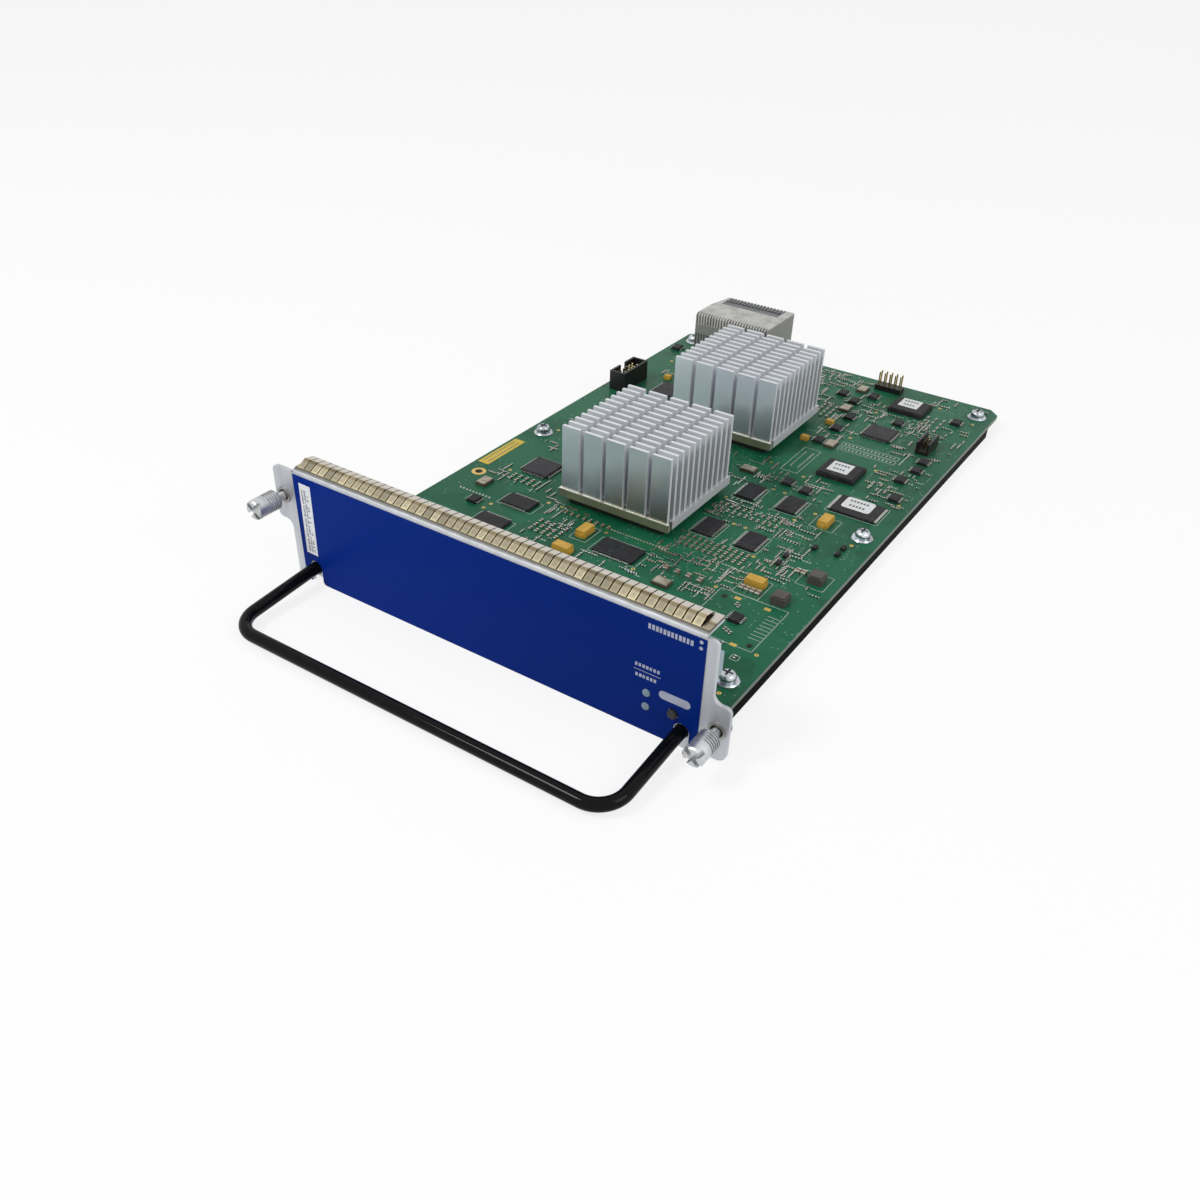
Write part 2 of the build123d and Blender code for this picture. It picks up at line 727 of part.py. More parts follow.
def pin_places(x, y, pitch, along_x):
    """The grid of a two-row header."""
    span = (header_columns - 1) / 2
    places = []
    for column in range(header_columns):
        for row in (-0.5, 0.5):
            run = (column - span) * pitch
            places.append((x + run, y + row * pitch) if along_x else (x + row * pitch, y + run))
    return places


def make_box_header():
    """A shrouded header, keyed by a notch in the wall that faces the board's edge."""
    shell = box_on(box_x, box_y, (box_width, box_length, box_height))
    hollow = (box_width - 2 * box_wall, box_length - 2 * box_wall, box_height)
    shell -= box_on(box_x, box_y, hollow, board_top + box_floor)
    shell -= box_on(box_x - box_width / 2, box_y, (3 * box_wall, box_notch, box_height), board_top + box_floor)
    for x, y in pin_places(box_x, box_y, pin_pitch, False):
        shell -= box_on(x, y, (pin_size, pin_size, box_height))
    return shell


def make_mini_header():
    """A small header with two long walls and a low floor."""
    shell = box_on(mini_x, mini_y, (mini_width, mini_length, mini_height))
    hollow = (mini_width - 2 * mini_wall, mini_length + 1, mini_height)
    shell -= box_on(mini_x, mini_y, hollow, board_top + mini_floor)
    for x, y in pin_places(mini_x, mini_y, mini_pitch, False):
        shell -= box_on(x, y, (mini_pin, mini_pin, mini_height))
    return shell


def make_post_header():
    """The moulded strip of the open header."""
    strip = box_on(post_header_x, post_header_y, (header_columns * pin_pitch, header_rows * pin_pitch, post_header_base))
    for x, y in pin_places(post_header_x, post_header_y, pin_pitch, True):
        strip -= box_on(x, y, (pin_size, pin_size, post_header_base + 1))
    return strip


def make_pins(places, size, rise):
    """Square pins that stand on the board."""
    return [box_on(x, y, (size, size, rise)) for x, y in places]


def lead_row(x, y, size, count, side, along_x):
    """One row of gull-wing leads beside a package: shoulder, drop and foot fused to the body."""
    length = size[0] if along_x else size[1]
    half = (size[1] if along_x else size[0]) / 2
    pitch = length * 0.9 / count
    leads = []
    for number in range(count):
        run = (number - (count - 1) / 2) * pitch
        mid = side * (half + lead_reach / 2)
        foot = side * (half + lead_reach - lead_foot / 2)
        shoulder_z = board_top + size[2] / 2
        for offset_out, reach, z, rise in (
            (mid - side * lead_foot / 2, lead_reach - lead_foot, shoulder_z - lead_thickness, lead_thickness),
            (foot, lead_foot, board_top, shoulder_z - board_top),
        ):
            if along_x:
                leads.append(box_on(x + run, y + offset_out, (lead_width, reach, rise), z))
            else:
                leads.append(box_on(x + offset_out, y + run, (reach, lead_width, rise), z))
    return leads


def make_chip(x, y, size, sides, count):
    """A moulded package with bevelled upper edges and leads on the named sides."""
    body = box_on(x, y, size)
    body = chamfer(body.edges().group_by(Axis.Z)[-1], min(0.2, size[2] / 4))
    leads = []
    if "x" in sides:
        leads += lead_row(x, y, size, count, -1, False) + lead_row(x, y, size, count, 1, False)
    if "y" in sides:
        leads += lead_row(x, y, size, count, -1, True) + lead_row(x, y, size, count, 1, True)
    return body + leads


def make_controller(x, y):
    """A thick square package with a slightly raised top."""
    width, length, height = controller_size
    body = box_on(x, y, (width, length, height - controller_lid))
    return body + box_on(x, y, (width - 1.4, length - 1.4, controller_lid), board_top + height - controller_lid)


def make_stickers():
    """The white stickers on the controller chips and the flash chip."""
    stickers = []
    for x, y in controller_sticker_places:
        stickers.append(box_on(x, y, (*controller_sticker, sticker_thickness), board_top + controller_size[2]))
    x, y = flash_sticker_place
    paper = extrude(RectangleRounded(*flash_sticker, flash_sticker_corner), amount=sticker_thickness)
    return stickers + [Pos(x, y, board_top + flash_size[2]) * paper]


def make_inductor(x, y):
    """A power inductor: a block with rounded corners and a lower round cap."""
    width, length, height = inductor_size
    body = box_on(x, y, (width, length, height - coil_cap_height))
    body = fillet(body.edges().filter_by(Axis.Z), inductor_corner)
    return body + Pos(x, y, board_top + height - coil_cap_height) * extrude(
        RectangleRounded(width - 1, length - 1, inductor_corner), amount=coil_cap_height
    )


def make_tantalum(x, y, size, along_x):
    """A moulded capacitor whose sides slope in, on two flat feet."""
    width, length, height = size
    waist = board_top + height / 2
    lower = box_on(x, y, (width, length, height / 2))
    upper = Pos(x, y, waist) * extrude(Rectangle(width, length), amount=height / 2, taper=8)
    foot = box_on(x, y, (width * 0.7, length + 2 * tantalum_foot, height / 2), board_top)
    body = lower + upper + foot
    return Pos(x, y, 0) * Rot(0, 0, 90) * Pos(-x, -y, 0) * body if along_x else body


def make_crystal(x, y, along_x):
    """An oscillator can: ceramic base with a lid set in from the edge."""
    width, length, height = crystal_size
    if along_x:
        width, length = length, width
    base = box_on(x, y, (width, length, height - crystal_lid))
    return base + box_on(x, y, (width - 0.6, length - 0.6, crystal_lid), board_top + height - crystal_lid)


def grid_places(rows):
    """Every place of the small parts, from the grids named above."""
    places = []
    for x0, y0, columns, lines, step_x, step_y in rows:
        for column in range(columns):
            for line in range(lines):
                places.append((x0 + column * step_x, y0 + line * step_y))
    return places


def build():
    """Makes every sub-part and writes it."""
    os.makedirs("parts", exist_ok=True)
    save("faceplate", [make_faceplate()])
    save("face_overlay", [make_film()])
    save("face_label", [make_label()])
    save("handle", [make_handle()])
    save("handle_nuts", [make_handle_nut(side) for side in (-1, 1)])
    save("emi_gasket", [make_gasket()])
    for name, place in (("left", left_screw), ("right", right_screw)):
        save(f"captive_screw_{name}", [make_captive_screw(*place)])
        save(f"retaining_clip_{name}", [make_clip(*place)])
    save("screw_ferrules", [make_ferrule(*left_screw), make_ferrule(*right_screw)])
    board_screws, foot_screws = screw_places()
    save("circuit_board", [make_board()])
    save("tray", [make_tray()])
    save("tray_standoffs", [make_standoff(x, y) for x, y in board_screws + foot_screws])
    save("board_screws", [make_pan_screw(x, y, board_top + washer_thickness) for x, y in board_screws])
    save("lock_washers", [make_washer(x, y) for x, y in board_screws])
    save("bracket_screws", [make_pan_screw(x, y, board_top + bracket_sheet) for x, y in foot_screws])
    save("faceplate_brackets", [make_bracket(side) for side in (-1, 1)])
    save("bracket_rivets", [make_rivet(side, z) for side in (-1, 1) for z in rivet_rows])
    save("push_button", [make_button()])
    save("switch_body", [make_switch()])
    save("light_pipes", [make_light_pipes()])
    save("indicator_lamp", [box_on(pipe_x, pipe_elbow + pipe_block_depth / 2, (lamp_size, lamp_size, lamp_height))])
    for name, y in zip(("front", "rear"), sink_rows):
        save(f"heat_sink_{name}", [make_heat_sink(y)])
        save(f"processor_{name}", [make_package(y)])
    save("thermal_pads", [make_thermal_pad(y) for y in sink_rows])
    save("backplane_connector", [make_plug()])
    save("connector_wafers", [make_wafers()])
    save("box_header", [make_box_header()])
    save("box_header_pins", make_pins(pin_places(box_x, box_y, pin_pitch, False), pin_size, box_pin_rise))
    save("post_header", [make_post_header()])
    places = pin_places(post_header_x, post_header_y, pin_pitch, True)
    save("post_header_pins", make_pins(places, pin_size, post_header_rise))
    save("mini_header", [make_mini_header()])
    save("mini_header_pins", make_pins(pin_places(mini_x, mini_y, mini_pitch, False), mini_pin, mini_rise))
    save("memory_chips", [make_chip(x, y, memory_size, "x", memory_leads) for x, y in memory_places])
    save("driver_chips", [make_chip(x, y, driver_size, "y", driver_leads) for x, y in driver_places])
    save("buffer_chip", [make_chip(*buffer_place, buffer_size, "y", buffer_leads)])
    save("flash_chip", [make_chip(*flash_place, flash_size, "x", flash_leads)])
    save("quad_chips", [make_chip(x, y, quad_size, "xy", quad_leads) for x, y in quad_places])
    save("controller_chips", [make_controller(x, y) for x, y in controller_places])
    places = small_chip_places + (side_chip_place,)
    save("small_chips", [make_chip(x, y, small_chip_size, "x", small_chip_leads) for x, y in places])
    save("chip_labels", make_stickers())
    save("board_label", [box_on(*edge_sticker_place, (*edge_sticker, sticker_thickness))])
    save("power_inductors", [make_inductor(x, y) for x, y in inductor_places])
    tantalums = [make_tantalum(x, y, tantalum_size, False) for x, y in tantalum_along_y]
    tantalums += [make_tantalum(x, y, tantalum_size, True) for x, y in tantalum_along_x]
    tantalums += [make_tantalum(x, y, small_tantalum_size, False) for x, y in small_tantalum_places]
    save("tantalum_capacitors", tantalums)
    crystals = [make_crystal(x, y, False) for x, y in crystal_places]
    save("oscillators", crystals + [make_crystal(x, y, True) for x, y in crystal_side_places])
    caps = [(x0 + n * step, y0) for x0, y0, count, step in chip_cap_rows for n in range(count)]
    save("chip_capacitors", [box_on(x, y, chip_cap_size) for x, y in caps])
    save("small_passives", [box_on(x, y, small_cap_size) for x, y in grid_places(small_cap_grids)])
    save("diodes", [box_on(x, y, diode_size) for x, y in diode_places])


build()
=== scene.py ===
import bpy
import numpy as np
from bpy.props import FloatProperty, FloatVectorProperty, IntProperty, PointerProperty
from mathutils import Matrix, Vector


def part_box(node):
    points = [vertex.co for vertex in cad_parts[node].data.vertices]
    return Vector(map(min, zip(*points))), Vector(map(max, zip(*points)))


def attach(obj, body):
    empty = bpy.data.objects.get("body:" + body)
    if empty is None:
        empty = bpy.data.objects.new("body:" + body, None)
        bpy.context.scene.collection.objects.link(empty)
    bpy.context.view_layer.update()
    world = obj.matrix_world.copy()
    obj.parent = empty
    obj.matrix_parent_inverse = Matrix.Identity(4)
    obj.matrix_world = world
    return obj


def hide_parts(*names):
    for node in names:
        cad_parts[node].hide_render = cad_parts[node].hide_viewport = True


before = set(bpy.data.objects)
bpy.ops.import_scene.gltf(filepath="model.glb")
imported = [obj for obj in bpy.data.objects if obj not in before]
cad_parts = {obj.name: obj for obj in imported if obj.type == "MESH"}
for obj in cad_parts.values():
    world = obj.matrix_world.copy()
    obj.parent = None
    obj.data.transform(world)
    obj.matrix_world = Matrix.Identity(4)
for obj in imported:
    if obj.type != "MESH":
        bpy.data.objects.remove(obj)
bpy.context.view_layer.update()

bl_info = {
    "name": "Chassis line card looks",
    "version": (1, 0, 0),
    "blender": (4, 5, 0),
    "location": "3D View > Sidebar > Line card",
    "description": "Finishes, printed marks and small parts for the packed line card",
    "category": "Object",
}

MM = 0.001
TO_MM = 1000.0
PANEL_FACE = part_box("faceplate")[0][1]
FILM_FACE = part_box("face_overlay")[0][1]
BOARD_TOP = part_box("circuit_board")[1][2]

# How noise is stretched: the same each way, or drawn out upwards
EVEN = (1.0, 1.0, 1.0)
UPRIGHT = (1.0, 1.0, 0.15)

# The gasket's fingers, in millimetres: across each finger from its start, and back from the panel's face
FINGER_START = -78.55
FINGER_PITCH = 3.05
FINGER_MIDDLE = 1.3
SLOPE_MIDDLE = 3.1
CREST = 4.7
TIP_START, TIP_END = 5.4, 6.2
# The field where the strip between the fingers gets painted shade: its middle and half size, across and back
STRIP_CENTRE = (-0.8, 5.2)
STRIP_HALF = (77.8, 3.6)
FLANGE_TOP = 43.7

# The heat sinks, in millimetres: columns of fins across, and each sink's front counted from the panel's face
FIN_START = -35.55
FIN_PITCH = 9.9
SAWN_ENDS = (1.0, 3.0)
SAW_MARK = 0.07
SINK_START = 89.85
SINK_PITCH = 82.9
# Depths back from each sink's front that bound the painted highlight on the ledge, the painted light on the
# fins behind the first and the painted reflection on the foot
LEDGE = 0.78
FIRST_FIN = 2.6
PAST_SINK = 60.0
NEXT_FRONT = 80.0
FIN_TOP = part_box("heat_sink_front")[1][2]
SINK_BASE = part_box("heat_sink_front")[0][2] + 3.2 * MM

# The board's fine tracks, in millimetres
TRACK_PITCH = 0.7
TRACK_WIDTH = 0.32

# Printed marks on the panel, in millimetres: each is x0, x1, z0, z1
INK = 0.02
RULE = (57.2, 66.5, 21.95, 22.15)
WORDS = [(57.6, 66.2, 23.3, 24.5), (57.9, 65.8, 19.6, 20.8), (61.2, 76.4, 37.9, 39.7)]
LETTER_PITCH = 1.25
LETTER_WIDTH = (0.75, 0.95)
# Spots on the film: x, z, how far a slot's ends stand from its middle, and the radius
SPOTS = [(78.3, 40.3, 0.0, 0.6), (78.3, 38.2, 0.0, 0.6), (71.5, 16.5, 3.8, 1.5)]
SPOT_SIDES = 24
# Columns of bars on the panel's label: x and the share of bars that are kept
LABEL_COLUMNS = [(-76.2, 0.85), (-75.0, 0.85), (-73.9, 0.55)]
LABEL_BOTTOM, LABEL_TOP, LABEL_PITCH = 12.8, 36.6, 0.62
BAR_HEIGHT = (0.2, 0.45)

# Places on the board, in millimetres: x from the middle, y from the panel's front face
MEMORY = [(23.9, 106.6), (41.7, 106.6), (23.9, 140.3), (41.7, 140.3)]
DRIVERS = [(-44.6, 78.9), (-44.6, 61.2)]
BUFFER = [(5.6, 72.0)]
FLASH = [(64.0, 153.2)]
QUADS = [(-54.2, 106.8), (45.3, 221.2), (-52.0, 204.0)]
SMALL_CHIPS = [
    (-60.3, 70.3), (68.8, 252.4), (14.6, 251.4), (47.9, 236.0), (27.6, 228.8), (27.6, 214.6), (26.4, 199.3),
    (70.8, 206.6), (71.2, 197.6), (68.7, 186.0), (72.7, 169.6), (32.4, 156.6), (41.4, 154.2),
    (-76.0, 251.6), (60.6, 59.6), (22.4, 246.0), (27.7, 256.4),
]
# Chips with leads: places, width, length, height, the leads on each side, and the sides that carry them
LEADED = [
    (MEMORY, 7.4, 12.2, 1.2, 11, "x"), (DRIVERS, 13.0, 7.8, 1.2, 12, "y"),
    (BUFFER, 17.2, 10.0, 1.2, 18, "y"), (FLASH, 18.2, 13.4, 1.1, 22, "x"),
    (QUADS, 12.4, 12.4, 1.5, 11, "xy"), (SMALL_CHIPS, 3.9, 4.9, 1.5, 4, "x"),
]
# Grids of small capacitors: x0, y0, columns, lines, step x, step y
SMALL_GRIDS = [
    (20.5, 90.5, 11, 3, 2.5, 3.2), (18.5, 121.5, 11, 2, 2.6, 4.2), (-30.0, 66.0, 5, 3, 2.9, 3.4),
    (-26.0, 83.5, 8, 1, 2.8, 3.0), (12.8, 224.0, 3, 4, 2.9, 3.6), (56.5, 238.0, 3, 4, 3.6, 4.2),
    (-60.0, 92.8, 5, 2, 3.0, 3.0), (60.6, 172.5, 3, 2, 3.4, 4.6),
]
# Stickers: x, y, width, length and the height of the chip under each
STICKERS = [(45.6, 178.2, 9.0, 9.0, 2.1), (45.6, 256.0, 9.0, 9.0, 2.1), (63.6, 155.0, 11.8, 9.0, 1.1)]
# Rows of chip capacitors: first place, how many and the step along x
CAPACITOR_ROWS = [(53.4, 77.2, 4, 2.1), (25.6, 72.2, 4, 4.6), (64.9, 98.4, 2, 2.2)]
# Small resistors that the photograph shows one by one
PLACED = [(60.2, 52.6), (61.5, 52.0), (62.8, 51.3), (70.4, 40.7), (56.6, 67.6), (57.9, 66.6), (63.4, 44.8)]
# Gold rings
VIAS = [
    (-64.5, 98.5), (-30, 86.5), (-36, 86), (-53.5, 72), (-54, 68), (-5.5, 80.5), (17, 99), (47, 98.5),
    (17.5, 131.5), (47.5, 131.5), (52, 140.5), (30, 115), (35, 115), (45.5, 73), (16, 65.5), (75.5, 46),
    (75, 22), (73, 127), (57, 188.5), (35, 165.5), (76, 166), (36, 210.5), (35, 242), (57, 264),
    (75, 256.5), (30, 148.5), (35, 148.5), (18.5, 169), (-70, 140), (-60, 160), (-40, 165), (-70, 236),
    (0, 160), (-20, 150), (4, 240), (-12, 255),
]
# Areas crowded with tiny parts: x0, y0, x1, y1 and how many rows of parts
CROWDS = [
    (14, 62, 52, 99, 114), (14, 114, 53, 133, 72), (-33, 40, 14, 66, 48), (-34, 66, -18, 88, 31),
    (-70, 88, -36, 99, 16), (50, 86, 76, 98, 16), (46, 96, 62, 124, 21), (46, 126, 58, 150, 12),
    (17, 150, 50, 166, 31), (55, 162, 78, 200, 31), (17, 196, 36, 250, 50), (52, 205, 64, 246, 21),
    (36, 230, 62, 245, 24), (-72, 120, -36, 164, 36), (-68, 166, -34, 198, 36), (-66, 214, -30, 246, 40),
    (-24, 222, 20, 246, 40), (-22, 246, 12, 270, 36), (-12, 262, 22, 275, 28), (50, 262, 74, 274, 12),
    (20, 20, 60, 56, 31), (-60, 16, -10, 52, 36), (-10, 140, 18, 170, 26), (-34, 139, -8, 170, 31),
    (62, 208, 80, 246, 19),
]
# Places no tiny part may touch: x0, y0, x1, y1
KEEP_CLEAR = [
    (-33, 89, 16, 137), (-33, 172, 16, 220), (-66.5, 249, -26.5, 280), (-78, 189, -67, 212),
    (63, 212, 71, 227), (23, 265, 38, 272), (36.5, 168, 56.5, 186.5), (36.5, 245, 56.5, 263),
    (50, 130, 76, 162), (-82, 95, -73, 124), (66, 92, 77, 124), (64, 73, 72, 82), (-15, 70, -8, 81),
    (-16, 57.5, -6.5, 63.5), (51, 74, 62, 86), (54.5, 130.5, 62, 141), (47, 46, 75, 73),
    (20.5, 60, 34, 66.5), (-69.5, 79.5, -62.5, 88), (18, 256.5, 24, 265), (19.5, 232, 25.5, 240.5),
    (28.5, 194.5, 35.5, 202.5), (10, 154, 18.5, 159.5), (19, 216.5, 25.5, 220.5), (18, 195, 22.5, 200),
    (22, 164, 35, 192), (34, 195, 62, 207), (24, 69.5, 42.5, 75), (-63, 214.5, -58, 219),
]

# Pale frames round groups of parts: x0, y0, x1, y1
LEGEND_FRAMES = [
    (47.4, 46.4, 73.4, 73.8), (69.0, 39.3, 71.8, 42.1), (24, 166.5, 31.5, 190.5), (35.5, 197.5, 61, 201),
    (35.5, 201.8, 61, 205.2), (51.2, 74.0, 61.2, 86.4), (53.6, 131.0, 63.2, 140.8), (-15.2, 70, -8, 80.8),
    (66.8, 91.8, 77.4, 102.2),
]
TOOLING_HOLE = (-74.0, 90.0)
COPPER_SQUARES = [(55.2, 71.2), (66.6, 71.2), (66.6, 46.6)]
# Grids of bare pads, bars on the yellow label and legend ticks: x0, y0, columns, lines, step x, step y
PAD_GRIDS = [
    (26.2, 172, 2, 10, 3.4, 1.6), (-71.5, 75.5, 10, 1, 1.6, 0), (-5, 83.6, 19, 1, 1.3, 0),
    (-4, 270.5, 8, 1, 1.5, 0), (37, 199.2, 14, 2, 1.7, 4.4),
]
MARK_GRID = [(-78.5, 99.5, 2, 14, 2.3, 1.5)]
TICK_GRID = [(71.0, 53.2, 1, 8, 0, 2.07)]
# Rows of bars on a sticker: the place as a share of its length, and the length as a share of its width
STICKER_ROWS = [(0.22, 0.62), (-0.2, 0.46)]
STICKER_PITCH = 1.35

# Chip parts with metal ends, in millimetres: width, length, height and the length of an end
SMALL_CAPACITOR = (1.0, 1.9, 0.7, 0.4)
PLACED_RESISTOR = (0.9, 1.6, 0.5, 0.38)
TINY_HEIGHT, TINY_END = 0.42, 0.28
END_WIDER, END_HIGHER = 0.06, 0.03

# Leads, in millimetres: how far out of the chip a shoulder's and a foot's middle are, and how long each is
SHOULDER_OUT, SHOULDER_LONG, SHOULDER_THICK = 0.28, 0.66, 0.31
FOOT_OUT, FOOT_LONG = 0.85, 0.54
LEAD_WIDTH = 0.49
LEAD_PROUD = 0.03
LEAD_SHARE = 0.9

# Room left round larger parts by frames and tiny parts, and the field tiny parts stay on, in millimetres
FRAME_ACROSS, FRAME_ALONG = 1.7, 0.5
CHIP_ROOM = 1.9
CAPACITOR_ROOM = (1.4, 1.6)
VIA_ROOM = 1.6
SCREW_ROOM = 6
SCREWS = [(x, y) for x in (-74, 74) for y in (29, 134.5, 265)]
FIELD = (-78, 12, 78, 274)

# The camera, in metres, with y from the panel's face, and its two axes across the picture
CAMERA_PLACE = (0.1875, -0.2222, 0.2219)
CAMERA_RIGHT = (0.8273, 0.5612, 0.0246)
CAMERA_UP = (-0.350, 0.481, 0.804)
FLOOR_REACH = 6.0
FLOOR_DROP = 0.0002


# Shader maths


class Value:
    """A socket of one tree. Sums, products and comparisons of values add their Math nodes."""

    def __init__(self, nodes, socket):
        self.nodes = nodes
        self.socket = socket

    def maths(self, operation, *others):
        return self.nodes.node("ShaderNodeMath", {"operation": operation}, dict(enumerate((self,) + others)))

    def swapped(self, operation, other):
        return self.nodes.node("ShaderNodeMath", {"operation": operation}, {0: other, 1: self})

    def __add__(self, other):
        return self.maths("ADD", other)

    def __radd__(self, other):
        return self.swapped("ADD", other)

    def __sub__(self, other):
        return self.maths("SUBTRACT", other)

    def __rsub__(self, other):
        return self.swapped("SUBTRACT", other)

    def __mul__(self, other):
        return self.maths("MULTIPLY", other)

    def __rmul__(self, other):
        return self.swapped("MULTIPLY", other)

    def __gt__(self, other):
        return self.maths("GREATER_THAN", other)

    def __lt__(self, other):
        return self.maths("LESS_THAN", other)

    def __mod__(self, other):
        return self.maths("FLOORED_MODULO", other)

    def __abs__(self):
        return self.maths("ABSOLUTE")


class Nodes:
    """A node tree and the one method that adds nodes to it."""

    def __init__(self, tree):
        self.tree = tree

    def node(self, kind, settings=None, feeds=None, output=0):
        """Adds a node, sets its options first, then its sockets' values or links."""
        made = self.tree.nodes.new(kind)
        for key, value in (settings or {}).items():
            if key == "stops":
                self.set_stops(made.color_ramp, value)
            else:
                setattr(made, key, value)
        for key, value in (feeds or {}).items():
            if isinstance(value, Value):
                self.tree.links.new(value.socket, made.inputs[key])
            else:
                made.inputs[key].default_value = value
        return Value(self, made.outputs[output])

    @staticmethod
    def set_stops(ramp, stops):
        while len(ramp.elements) < len(stops):
            ramp.elements.new(1.0)
        for element, (position, colour) in zip(ramp.elements, stops):
            element.position = position
            element.color = (*colour, 1.0)

    def looking(self):
        """1 for rays from the camera and off gloss, 0 for the light that falls on things."""
        camera = self.node("ShaderNodeLightPath", output="Is Camera Ray")
        return camera.maths("MAXIMUM", self.node("ShaderNodeLightPath", output="Is Glossy Ray"))


class Paint(Nodes):
    """A procedural material: one principled surface and the nodes that feed it."""

    def __init__(self, name, **fixed):
        self.material = bpy.data.materials.new(name)
        self.material.use_nodes = True
        super().__init__(self.material.node_tree)
        self.surface = self.tree.nodes["Principled BSDF"]
        for key, value in fixed.items():
            self.surface.inputs[key.replace("_", " ")].default_value = value
        self.place = self.node("ShaderNodeTexCoord", output="Object")
        self.x, self.y, self.z = (
            self.node("ShaderNodeSeparateXYZ", feeds={"Vector": self.place}, output=axis) for axis in "XYZ"
        )

    def feed(self, socket, value):
        self.tree.links.new(value.socket, self.surface.inputs[socket])

    def noise(self, scale, detail=2.0, stretch=EVEN):
        """Noise on object coordinates, stretched by a factor for each axis."""
        where = self.node("ShaderNodeMapping", feeds={"Vector": self.place, "Scale": stretch})
        feeds = {"Vector": where, "Scale": scale, "Detail": detail}
        return self.node("ShaderNodeTexNoise", feeds=feeds, output="Fac")

    def cells(self, scale, output="Distance", metric="EUCLIDEAN"):
        """Cells round scattered points: how far the nearest point is, or a chance colour for each cell."""
        feeds = {"Vector": self.place, "Scale": scale}
        return self.node("ShaderNodeTexVoronoi", {"distance": metric}, feeds, output)

    def ramp(self, value, *stops):
        return self.node("ShaderNodeValToRGB", {"stops": stops}, {"Fac": value}, "Color")

    def blend(self, mask, first, second):
        """The first colour where the mask is 0 and the second where it is 1."""
        fill = [c if isinstance(c, Value) else (*c, 1.0) for c in (first, second)]
        return self.node("ShaderNodeMix", {"data_type": "RGBA"}, {0: mask, 6: fill[0], 7: fill[1]}, 2)

    def fade(self, value, low, high):
        """A smooth step from 0 at the first limit to 1 at the second, which may be the lower one."""
        feeds = {"Value": value, "From Min": low, "From Max": high}
        return self.node("ShaderNodeMapRange", {"interpolation_type": "SMOOTHSTEP"}, feeds)

    def by_number(self, number):
        """A chance value from 0 to 1 that stays the same for each whole number."""
        whole = number.maths("FLOOR")
        return self.node("ShaderNodeTexWhiteNoise", {"noise_dimensions": "1D"}, {"W": whole}, "Value")

    def bump(self, height, distance=0.0001, strength=0.5):
        feeds = {"Height": height, "Distance": distance, "Strength": strength}
        self.feed("Normal", self.node("ShaderNodeBump", feeds=feeds, output="Normal"))

    def mottled(self, colour, spread, scale, stretch=EVEN):
        """A base colour that drifts darker and lighter with soft noise."""
        light = tuple(min(1.0, c) for c in toned(colour, 1 + spread))
        return self.ramp(self.noise(scale, 4.0, stretch), (0.3, toned(colour, 1 - spread)), (0.7, light))

    def rough(self, low, high, scale, stretch=EVEN):
        self.feed("Roughness", self.noise(scale, 3.0, stretch) * (high - low) + low)


def toned(colour, factor):
    """A colour with each part multiplied by a factor."""
    return tuple(c * factor for c in colour)


# Finishes


def sheet_metal(name, colour, low, high, stretch=EVEN, grain=1800.0, spread=0.12):
    """Plated sheet: cloudy colour, roughness that follows the rolling direction and a faint grain."""
    paint = Paint(name, Metallic=1.0)
    paint.feed("Base Color", paint.mottled(colour, spread, 160.0, stretch))
    paint.rough(low, high, 420.0, stretch)
    paint.bump(paint.noise(grain, 2.0, stretch), 0.00002, 0.35)
    return paint.material


def plate_finish(colour):
    """Zinc-plated panel sheet, clouded upright, with painted shade: a dark line along the bend under the
    gasket.
    """
    paint = Paint("zinc_sheet", Metallic=0.95)
    cloud = paint.mottled(colour, 0.14, 160.0, UPRIGHT)
    height = paint.z * TO_MM + paint.noise(150.0, 2.0) * 0.3
    # Painted shade: the bend just under the gasket is darkened to a near-black line.
    painted_shade_lip = paint.fade(height, FLANGE_TOP - 0.75, FLANGE_TOP - 0.35)
    paint.feed("Base Color", paint.blend(painted_shade_lip * 0.85, cloud, (0.09, 0.085, 0.07)))
    paint.feed("Roughness", paint.noise(420.0, 3.0, UPRIGHT) * 0.16 + 0.42)
    paint.bump(paint.noise(1800.0, 2.0, UPRIGHT), 0.00002, 0.35)
    return paint.material


def moulding(name, colour, low=0.4, high=0.6, grain=2600.0, spread=0.12, sheen=0.3):
    """Moulded plastic or ceramic: near-even colour, fine pitted grain and uneven sheen."""
    paint = Paint(name, Specular_IOR_Level=sheen)
    paint.feed("Base Color", paint.mottled(colour, spread, 300.0))
    paint.rough(low, high, 700.0)
    paint.bump(paint.noise(grain, 2.0), 0.00002, 0.3)
    return paint.material


def film_finish(colour):
    """Screen-printed film: deep colour with painted light, lighter on the left and darker on the right, a
    faint orange-peel and a low satin sheen.
    """
    paint = Paint("blue_film", Specular_IOR_Level=0.025)
    # Painted light: the film is lightened towards the left and darkened towards the right across x.
    half = 0.09
    painted_light_drift = paint.fade(paint.x + paint.noise(9.0, 1.0) * 0.03, -half, half)
    painted_light_shades = (0.0, toned(colour, 1.16)), (0.5, colour), (1.0, toned(colour, 0.84))
    paint.feed("Base Color", paint.ramp(painted_light_drift, *painted_light_shades))
    paint.rough(0.32, 0.42, 260.0)
    paint.bump(paint.noise(900.0, 2.0), 0.00002, 0.15)
    return paint.material


def label_finish(name, colour):
    """Label stock: pale paper with a faint unevenness."""
    paint = Paint(name, Specular_IOR_Level=0.3)
    fleck = paint.noise(60.0, 1.0)
    paint.feed("Base Color", paint.ramp(fleck, (0.3, toned(colour, 0.93)), (0.7, colour)))
    paint.rough(0.45, 0.6, 500.0)
    return paint.material


def rod_finish(colour):
    """Gloss black coating over steel, with slight ripples and dust in the sheen."""
    paint = Paint("black_rod", Specular_IOR_Level=0.1)
    paint.feed("Base Color", paint.mottled(colour, 0.3, 200.0))
    paint.rough(0.05, 0.14, 90.0)
    paint.bump(paint.noise(220.0, 3.0), 0.00003, 0.1)
    return paint.material


